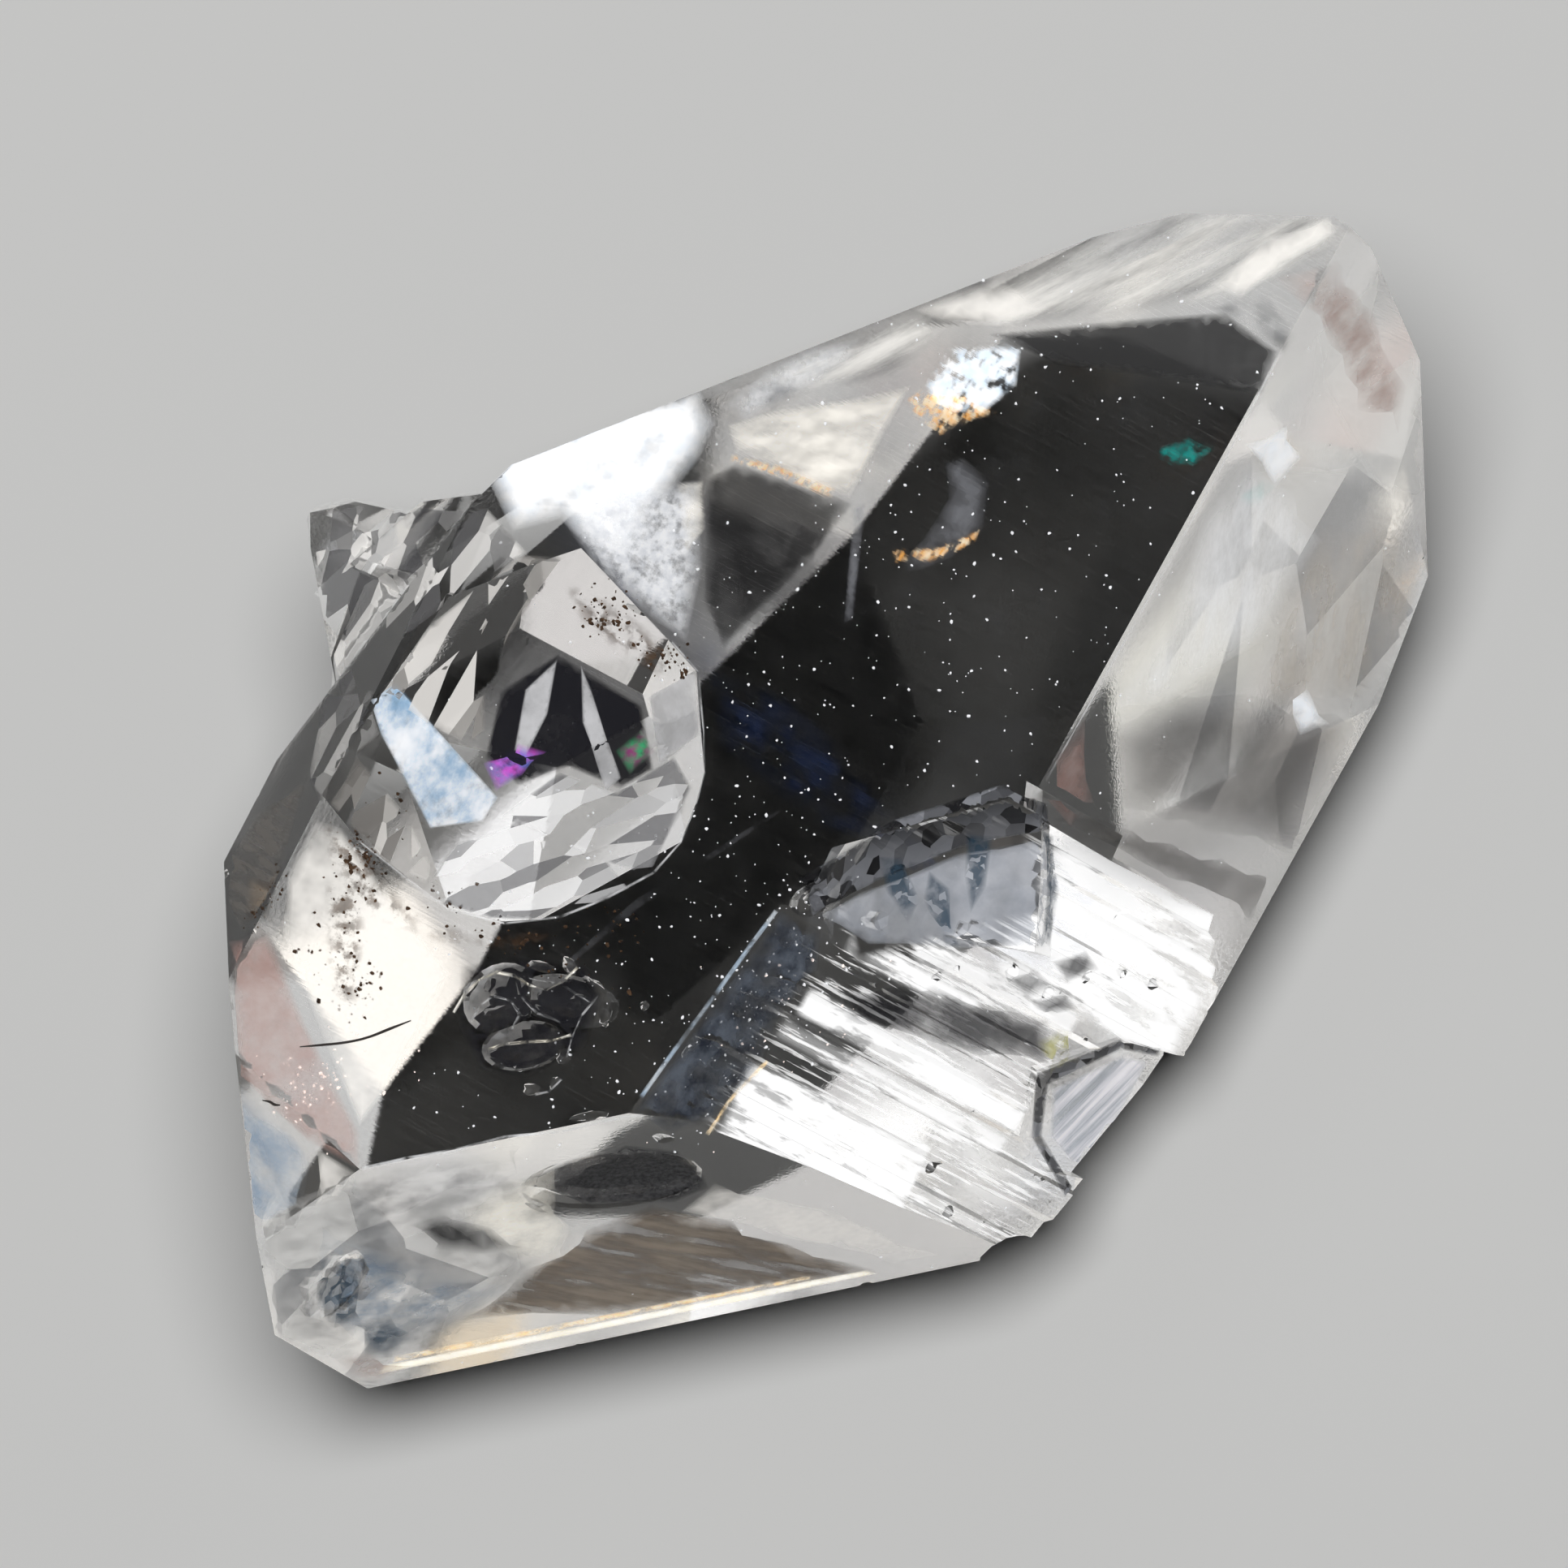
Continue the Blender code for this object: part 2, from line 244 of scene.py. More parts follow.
# addRock: a lumpy ball, which cuts a nick or a break or lies on the crystal as a speck
def addRock(shape, centre, radii, turn, seed, rough=0.22, steps=1):
    made = bmesh.ops.create_icosphere(shape, subdivisions=steps, radius=1.0)
    spin = Matrix.Rotation(turn, 3, "Z")
    away = Vector([seed * step for step in lumps["shift"]])
    for vert in made["verts"]:
        bump = 1 + rough * noise.noise(vert.co * lumps["scale"] + away)
        vert.co = centre + spin @ Vector((vert.co.x * radii[0] * bump, vert.co.y * radii[1] * bump,
                                          vert.co.z * radii[2] * bump))


def cutWith(piece, cutter):
    step = piece.modifiers.new("cut", "BOOLEAN")
    step.operation = "DIFFERENCE"
    step.solver = "EXACT"
    step.use_self = True
    step.object = cutter
    fresh = bpy.data.meshes.new_from_object(piece.evaluated_get(bpy.context.evaluated_depsgraph_get()))
    piece.modifiers.remove(step)
    piece.data = fresh
    bpy.data.objects.remove(cutter)


def edgeNicks(shape):
    chance = random.Random(gemLook["nickSeed"])
    sharp = [edge for edge in shape.edges if len(edge.link_faces) == 2 and edge.is_convex
             and edge.calc_face_angle() > math.radians(gemLook["sharpFrom"])
             and edge.calc_length() > gemLook["longFrom"]]
    lengths = [edge.calc_length() for edge in sharp]
    least, extra = gemLook["nickSize"]
    rocks = bmesh.new()
    for count in range(gemLook["nicks"]):
        edge = chance.choices(sharp, lengths)[0]
        share = chance.uniform(*gemLook["alongEdge"])
        spot = edge.verts[0].co.lerp(edge.verts[1].co, share)
        out = sum((face.normal for face in edge.link_faces), Vector()).normalized()
        size = least + extra * chance.random() ** 3
        radii = (size * chance.uniform(*gemLook["nickLong"]), size * chance.uniform(*gemLook["nickWide"]),
                 size * gemLook["nickDeep"])
        addRock(rocks, spot + out * size * gemLook["nickOff"], radii, chance.uniform(0, anyTurn), count)
    return objectFrom("nickCutter", rocks, None, 1)


# breaks: flakes in the chip, pits in the striated face, curls in the front pit and small chips on edges,
# each with its place, half length, half width and turn
breakSpots = [
    (4.27, -0.8, 0.26, 0.13, -10), (4.83, -0.83, 0.24, 0.13, -8), (5.19, -0.37, 0.2, 0.1, 5),
    (2.4, -1.05, 0.4, 0.12, 15), (1.75, -0.85, 0.2, 0.16, 40), (3.55, -0.55, 0.3, 0.12, 30),
    (-1.92, -4.42, 0.16, 0.1, 70), (-1.62, -4, 0.17, 0.09, 20), (-1.24, -3.72, 0.22, 0.08, 15),
    (-0.92, -3.55, 0.16, 0.1, -30), (-0.5, -3.6, 0.2, 0.08, -10), (-0.2, -3.88, 0.1, 0.16, 20),
    (-1.5, -4.52, 0.2, 0.07, 40), (-1.18, -4.32, 0.14, 0.1, -20), (-0.86, -4.2, 0.22, 0.07, 10),
    (-1.34, -4.1, 0.09, 0.15, 30), (-0.62, -3.92, 0.1, 0.14, -40), (-1.05, -3.98, 0.12, 0.07, 60),
    (-1.72, -4.28, 0.08, 0.12, 15), (-1.22, -5.02, 0.16, 0.06, 35), (-0.78, -4.96, 0.18, 0.07, 45),
    (-0.42, -4.62, 0.1, 0.12, 10), (-0.58, -5.2, 0.14, 0.09, 25), (-0.36, -4.98, 0.06, 0.1, 10),
    (0.19, -3.52, 0.07, 0.07, 0), (-4.07, -3.63, 0.13, 0.13, 0), (5.6, -0.1, 0.16, 0.07, -5),
    (3.4, -1.35, 0.46, 0.09, 0), (4.6, -3.6, 0.32, 0.12, 6), (5.1, -4.05, 0.24, 0.12, -12),
    (1.45, -1.2, 0.16, 0.12, 35), (1.3, -4.95, 0.3, 0.1, -20), (0.25, -5.15, 0.28, 0.07, 38),
]


def treeOf(shape):
    shape.verts.index_update()
    corners = [vert.co.copy() for vert in shape.verts]
    return BVHTree.FromPolygons(corners, [[vert.index for vert in face.verts] for face in shape.faces])


def surfaceUnder(tree, x, y):
    return tree.ray_cast(Vector((x, y, overTop)), Vector((0, 0, -1)))[:2]


def breakCutter(shape):
    tree = treeOf(shape)
    rocks = bmesh.new()
    for count, (x, y, long, wide, turn) in enumerate(breakSpots):
        spot, normal = surfaceUnder(tree, x, y)
        deep = min(long, wide) * gemLook["breakDepth"]
        addRock(rocks, spot + normal * deep * gemLook["breakOff"], (long, wide, deep), math.radians(turn),
                count + gemLook["breakSeed"], rough=gemLook["breakRough"], steps=2)
    return objectFrom("breakCutter", rocks, None, 1)


def clearQuartz():
    material, tree, surface = newMaterial("clearQuartz", {
        "Base Color": (1, 1, 1, 1), "IOR": 1.544, "Transmission Weight": 1.0, "Metallic": 0.0})
    both = reckon(tree, "ADD", clouds(tree, **gemLook["fineLines"]), clouds(tree, **gemLook["broadLines"]))
    lines = nodeIn(tree, "ShaderNodeBump", {"Height": both, "Strength": gemLook["lineStrength"],
                   "Distance": gemLook["lineDepth"] * mm})
    tree.links.new(lines.outputs["Normal"], surface.inputs["Normal"])
    haze = times(tree, clouds(tree, **gemLook["haze"]), gemLook["hazeRoughness"])
    tree.links.new(haze, surface.inputs["Roughness"])
    return material


gemShape = facetedCopy(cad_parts["quartz_crystal"])
cutters = [edgeNicks(gemShape), breakCutter(gemShape)]
gem = objectFrom("quartz", gemShape, None, 1)
for cutter in cutters:
    cutWith(gem, cutter)
cutShape = bmesh.new()
cutShape.from_mesh(gem.data)
gemTree = treeOf(cutShape)
cutShape.free()
gem.data.transform(Matrix.Scale(snug, 4))
gem.data.materials.clear()
gem.data.materials.append(clearQuartz())
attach(gem, "root")
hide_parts("quartz_crystal")
print("crystal ready", len(gem.data.polygons), "faces")


# films: thin skins on the facets and thin sheets inside, some of them cracks, drawn as patches with a soft
# rim; a few are stains and clay, most paint the light, shade, glints and reflections that the clear crystal
# shows
def insideOf(outline, point):
    hits = 0
    for here, there in zip(outline, outline[1:] + outline[:1]):
        if (here[1] > point[1]) != (there[1] > point[1]):
            share = (point[1] - here[1]) / (there[1] - here[1])
            hits += point[0] < here[0] + share * (there[0] - here[0])
    return hits % 2 == 1


def gapTo(outline, point):
    spot = Vector(point)
    gaps = []
    for here, there in zip(outline, outline[1:] + outline[:1]):
        start, end = Vector(here), Vector(there)
        share = geometry.intersect_point_line(spot, start, end)[1]
        gaps.append((spot - start.lerp(end, min(1.0, max(0.0, share)))).length)
    return min(gaps)


# stroke: the outline of a thin line along a path
def stroke(path, width):
    points = [Vector(point) for point in path]
    sides = [[], []]
    for at, here in enumerate(points):
        along = points[min(at + 1, len(points) - 1)] - points[max(at - 1, 0)]
        off = Vector((-along.y, along.x)).normalized() * width / 2
        sides[0].append(tuple(here + off))
        sides[1].insert(0, tuple(here - off))
    return sides[0] + sides[1]


patchFit = {
    "spacing": (0.04, 0.14),  # mm between points, the least and the most
    "spacingBySoft": 1.3,
    "shake": (0.2, 0.8),  # where in its cell of the spacing a point can be
    "rimGap": 0.3,  # share of the spacing that points keep off the outline
    "weld": 0.00001,  # mm
    "deepestStep": 0.6,  # mm, so that a patch doesn't hang down like a curtain at the small crystal
    "firstLift": 0.005,  # mm off the facet
    "nextLift": 0.00018,  # mm more for each patch, so that those that overlap keep their order
}


# scatter: points inside an outline, one in each cell of a grid, seeded by the outline
def scatter(outline, spacing):
    chance = random.Random(len(outline) + int(100 * abs(outline[0][0])))
    xs, ys = [x for x, y in outline], [y for x, y in outline]
    points = []
    for across in range(int((max(xs) - min(xs)) / spacing) + 1):
        for along in range(int((max(ys) - min(ys)) / spacing) + 1):
            point = (min(xs) + (across + chance.uniform(*patchFit["shake"])) * spacing,
                     min(ys) + (along + chance.uniform(*patchFit["shake"])) * spacing)
            if insideOf(outline, point) and gapTo(outline, point) > spacing * patchFit["rimGap"]:
                points.append(Vector(point))
    return points


# patch: draped over the facets when it has no height, otherwise a level sheet inside the crystal
def patch(name, material, soft, lift, outline, height=None):
    least, most = patchFit["spacing"]
    spacing = max(least, min(most, soft * patchFit["spacingBySoft"]))
    points = [Vector(point) for point in outline] + scatter(outline, spacing)
    edges = [(at, (at + 1) % len(outline)) for at in range(len(outline))]
    flat = geometry.delaunay_2d_cdt(points, edges, [], 1, patchFit["weld"])  # 1: inside the outline only
    shape = bmesh.new()
    fades, made = [], []
    for corner in flat[0]:
        spot, normal = surfaceUnder(gemTree, corner.x, corner.y)
        if spot is None:
            spot, normal = gemTree.find_nearest((corner.x, corner.y, frontZ))[:2]
        spot += normal * lift
        if height is not None:
            spot = Vector((corner.x, corner.y, height))
        made.append(shape.verts.new(spot))
        fades.append(min(1.0, gapTo(outline, (corner.x, corner.y)) / soft))
    for face in flat[2]:
        around = [made[at] for at in face]
        depths = [vert.co.z for vert in around]
        if max(depths) - min(depths) < patchFit["deepestStep"]:
            shape.faces.new(around)
    bmesh.ops.recalc_face_normals(shape, faces=shape.faces[:])
    for face in shape.faces:
        if face.normal.z < 0:
            face.normal_flip()
    piece = onCrystal(objectFrom(name, shape, material))
    fade = piece.data.attributes.new("fade", "FLOAT", "POINT")
    fade.data.foreach_set("value", fades)


# shards: straight-edged cells, each with its own cover and its own shade
def shards(tree, stretch, scale, low, high, turn):
    where = nodeIn(tree, "ShaderNodeGroup", {"Stretch": stretch, "Turn": -math.radians(turn)},
                   node_tree=millimetres)
    cell = nodeIn(tree, "ShaderNodeTexVoronoi", {"Vector": where.outputs["Vector"], "Scale": scale})
    split = nodeIn(tree, "ShaderNodeSeparateColor", {"Color": cell.outputs["Color"]})
    return remap(tree, split.outputs["Red"], low, high), remap(tree, split.outputs["Green"], 0.15, 0.85)


# film: a skin with a colour, a little painted glow of its own that stands in for the light it would catch,
# and a cloudy, streaked or shattered cover
def film(name, colour, glow=0.0, cover=0.75, scale=1.3, low=0.3, high=0.6, stretch=(1, 1, 1), detail=5.0,
         least=0.0, second=None, oneSided=True, cells=False, turn=0.0, grain=1.7):
    # the emission is the painted glow
    material, tree, surface = newMaterial(name, {
        "Base Color": (*colour, 1), "Roughness": 0.65, "IOR": 1.3, "Specular IOR Level": 0.2,
        "Emission Color": (*colour, 1), "Emission Strength": glow})
    fade = nodeIn(tree, "ShaderNodeAttribute", attribute_name="fade").outputs["Fac"]
    if cells:
        cloud, shade = shards(tree, stretch, scale, low, high, turn)
    else:
        cloud = clouds(tree, stretch, scale, low, high, detail, turn)
    body = nodeIn(tree, "ShaderNodeMapRange", {"Value": cloud, "To Min": least,
                  "To Max": 1.0}).outputs["Result"]
    seen = times(tree, times(tree, fade, body), cover)
    if oneSided:
        back = nodeIn(tree, "ShaderNodeNewGeometry").outputs["Backfacing"]
        seen = times(tree, seen, reckon(tree, "SUBTRACT", 1.0, back))
    tree.links.new(seen, surface.inputs["Alpha"])
    if second:
        if not cells:
            shade = clouds(tree, stretch, scale * grain, low=0.3, high=0.7, detail=6, turn=turn)
        mix = blend(tree, shade, (*colour, 1), (*second, 1))
        tree.links.new(mix, surface.inputs["Base Color"])
        tree.links.new(mix, surface.inputs["Emission Color"])
    return material


filmLooks = {
    # milky white veil with a painted glow, which also paints glints on the right face
    "milky": dict(colour=(1, 1, 1), glow=0.5, cover=1, scale=2.2, high=0.5, least=0.75,
        second=(0.84, 0.89, 0.95)),
    # painted light: a soft white glow over the bright part of the right face
    "softWhite": dict(colour=(0.97, 0.98, 1), glow=0.38, cover=0.7, scale=1.1, low=0.25, high=0.7,
        stretch=(0.5, 2.4, 1), turn=119, least=0.3, detail=8),
    # bubbly white veil with a painted glow
    "bubbly": dict(colour=(0.92, 0.93, 0.95), glow=0.3, cover=0.85, scale=6, high=0.55, detail=9,
        least=0.35, second=(0.7, 0.72, 0.76)),
    "beige": dict(colour=(0.72, 0.64, 0.54), glow=0.15, cover=0.5, scale=1, high=0.7, least=0.2,
        stretch=(0.5, 2.6, 1), turn=119, detail=8),
    # cream sheets inside with a strong painted glow that stands in for bright light
    "creamInner": dict(colour=(1, 0.96, 0.88), glow=1.15, cover=0.95, scale=1.1, least=0.35,
        second=(0.55, 0.53, 0.49), oneSided=False, turn=30, stretch=(0.7, 1.6, 1)),
    # cream patches with a painted glow
    "cream": dict(colour=(0.98, 0.95, 0.9), glow=0.35, scale=1.1, high=0.65, least=0.35, detail=3),
    "salmon": dict(colour=(0.52, 0.3, 0.26), glow=0.1, cover=0.62, least=0.55, second=(0.64, 0.46, 0.42)),
    "rose": dict(colour=(0.5, 0.3, 0.25), glow=0.1, scale=1.2, least=0.3, stretch=(0.6, 2, 1), turn=56,
        second=(0.72, 0.58, 0.53), detail=4),
    "paleBlue": dict(colour=(0.26, 0.4, 0.58), glow=0.12, cover=0.62, least=0.35, second=(0.7, 0.75, 0.8),
        detail=6),
    "greyBars": dict(colour=(0.2, 0.185, 0.17), glow=0.02, scale=1, low=0.4, high=0.55, stretch=(0.4, 6, 1),
        least=0.3),
    "charcoal": dict(colour=(0.025, 0.025, 0.028), cover=0.93, scale=9, low=0.25, high=0.5, least=0.8,
        second=(0.1, 0.1, 0.105)),
    # painted shade: near-black skins and sheets put where the crystal only shows shade
    "smoke": dict(colour=(0.015, 0.015, 0.02), cover=0.85, scale=1.5, low=0.2, least=0.6),
    # soft darker patches
    "softSmoke": dict(colour=(0.05, 0.055, 0.07), cover=0.6, low=0.35, high=0.65, detail=8),
    # painted shade along the bottom of the right face
    "greySmoke": dict(colour=(0.13, 0.12, 0.11), cover=0.66, scale=0.8, low=0.2, least=0.7, detail=4),
    "brownBars": dict(colour=(0.06, 0.036, 0.022), glow=0.02, cover=0.92, scale=1, high=0.5, detail=4,
        stretch=(0.11, 6, 1), turn=16, least=0.7, second=(0.44, 0.35, 0.26), grain=1),
    "clayFilm": dict(colour=(0.16, 0.09, 0.045), cover=0.74, scale=4.5, low=0.44, detail=9,
        second=(0.06, 0.035, 0.022)),
    # painted shade: the small crystal's table dark like the shadow seen through it
    "black": dict(colour=(0.01, 0.01, 0.014), cover=0.97, scale=1.2, low=0.2, high=0.5, least=0.88),
    # darker patches; over the upper centre this is painted shade
    "dark": dict(colour=(0.044, 0.044, 0.045), cover=0.95, scale=1.2, low=0.2, high=0.5, least=0.88),
    # painted shade on the narrow bevel
    "navy": dict(colour=(0.022, 0.03, 0.05), glow=0.04, cover=0.86, scale=1.6, low=0.36, least=0.45,
        second=(0.17, 0.2, 0.25), detail=8),
    # creamGlow: painted light; edgeGlow: painted highlights along edges
    "creamGlow": dict(colour=(0.98, 0.94, 0.84), glow=0.5, cover=0.85, scale=1.1, high=0.65, least=0.45),
    "edgeGlow": dict(colour=(0.88, 0.89, 0.9), glow=0.35, scale=2.4, low=0.35, least=0.25),
    "scratch": dict(colour=(0.4, 0.41, 0.44), glow=0.4, cover=0.3, scale=1.6, low=0.35, high=0.65, detail=8,
        oneSided=False),
    # gold and whiteGlow: glowing lines, painted highlights along edges and pit curls
    "gold": dict(colour=(1, 0.7, 0.34), glow=0.7, cover=0.85, scale=3.4, low=0.36, high=0.56, least=0.15,
        second=(1, 0.9, 0.72)),
    "whiteGlow": dict(colour=(1, 0.98, 0.92), glow=0.8, cover=1, scale=1.6, low=0.25, least=0.6,
        second=(0.95, 0.88, 0.7)),
    # crystalBits, windowLines and shardBits: light and dark cells and lines that paint lit and shaded facets
    "crystalBits": dict(colour=(0.1, 0.1, 0.11), glow=0.35, cover=0.74, scale=2.4, low=0.2, high=0.45,
        second=(1, 1, 1), cells=True, turn=52, stretch=(0.55, 1.9, 1)),
    "windowLines": dict(colour=(0.26, 0.3, 0.36), glow=0.35, cover=0.85, scale=1, high=0.5, least=0.6,
        stretch=(0.4, 9, 1), turn=74, second=(0.97, 0.95, 0.99), grain=1, detail=3),
    "shardBits": dict(colour=(0.07, 0.07, 0.075), glow=0.25, scale=1.7, low=0.35, high=0.5,
        stretch=(2.2, 0.8, 1), second=(0.95, 0.93, 0.9), cells=True),
    # painted light and dark streaks at the upper end
    "endStreaks": dict(colour=(0.07, 0.07, 0.075), glow=0.28, cover=0.72, scale=0.9, high=0.62,
        stretch=(0.35, 2.4, 1), turn=56, second=(1, 0.98, 0.93), detail=6, grain=1.1),
    # cells that paint lit and shaded facets
    "facetTint": dict(colour=(0.1, 0.11, 0.13), glow=0.22, cover=0.45, scale=0.6, low=0.2, high=0.7,
        second=(1, 0.99, 0.96), cells=True, turn=119, stretch=(0.6, 1.6, 1)),
    # fan, blueWhite and blade: painted light and shade on the small crystal
    "fan": dict(colour=(0.25, 0.235, 0.22), glow=0.2, scale=1.6, low=0.35, high=0.5, stretch=(2.6, 0.5, 1),
        second=(0.95, 0.92, 0.88), cells=True),
    "blueWhite": dict(colour=(0.95, 0.97, 1), glow=0.42, cover=0.92, scale=2, high=0.5, least=0.6,
        detail=10, second=(0.26, 0.42, 0.6), grain=0.9, stretch=(1.5, 0.9, 1)),
    "blade": dict(colour=(0.5, 0.5, 0.51), glow=0.22, cover=0.85, scale=1, low=0.2, high=0.5, least=0.7,
        second=(0.72, 0.72, 0.74)),
    # purple, green and teal: painted coloured glints
    "purple": dict(colour=(0.6, 0.09, 0.58), glow=0.7, cover=0.9, scale=2.6, low=0.2, high=0.5, detail=6,
        second=(0.12, 0.16, 0.52)),
    "green": dict(colour=(0.02, 0.36, 0.14), glow=0.6, cover=0.9, scale=3, low=0.24, high=0.52, detail=6,
        second=(0.26, 0.05, 0.17)),
    "teal": dict(colour=(0.02, 0.45, 0.4), glow=0.7, cover=0.8, scale=5, low=0.38, oneSided=False),
    # painted shade in the shells of the chip, the pits and the lower end
    "shellBlue": dict(colour=(0.045, 0.085, 0.13), glow=0.1, cover=0.85, scale=3, high=0.55, least=0.4),
    # chipHaze: painted light on the floor of the chip; chipRock: dark cells along its rim
    "chipHaze": dict(colour=(0.66, 0.68, 0.73), glow=0.25, cover=0.78, scale=0.8, high=0.65, least=0.6,
        second=(0.44, 0.47, 0.53), detail=3),
    "chipRock": dict(colour=(0.012, 0.012, 0.014), glow=0.05, cover=0.95, scale=4.2, low=0.15, high=0.3,
        least=0.8, second=(0.3, 0.31, 0.34), cells=True),
    # warmCore: painted glow of a rainbow crack inside; orange: painted orange glints at crack rims
    "warmCore": dict(colour=(1, 1, 1), glow=1.2, cover=1.3, scale=5, low=0.38, high=0.54,
        second=(0.72, 0.86, 1), oneSided=False, detail=9),
    "orange": dict(colour=(1, 0.46, 0.1), glow=0.9, cover=1, scale=7, low=0.42, high=0.55,
        second=(1, 0.92, 0.7), oneSided=False),
    # painted reflections and light lines in cracks inside
    "greyGlow": dict(colour=(0.42, 0.43, 0.47), glow=0.6, cover=0.6, scale=2.2, high=0.65, least=0.2,
        oneSided=False),
    # faintHaze and deepBlue: painted faint glow and blue streaks inside
    "faintHaze": dict(colour=(0.3, 0.31, 0.34), glow=0.35, cover=0.12, low=0.52, high=0.8, detail=8,
        oneSided=False),
    "deepBlue": dict(colour=(0.05, 0.09, 0.26), glow=0.4, cover=0.45, low=0.4, high=0.7,
        stretch=(1, 2.2, 1), detail=6, oneSided=False),
    # painted highlight along the bevel
    "edgeWhite": dict(colour=(0.5, 0.66, 0.84), glow=0.3, scale=1.6, low=0.36, high=0.58, least=0.15,
        second=(0.8, 0.86, 0.92), detail=8),
    "yellowGreen": dict(colour=(0.62, 0.6, 0.12), glow=0.15, scale=3, low=0.35),
}
filmMaterials = {name: film(name, **look) for name, look in filmLooks.items()}

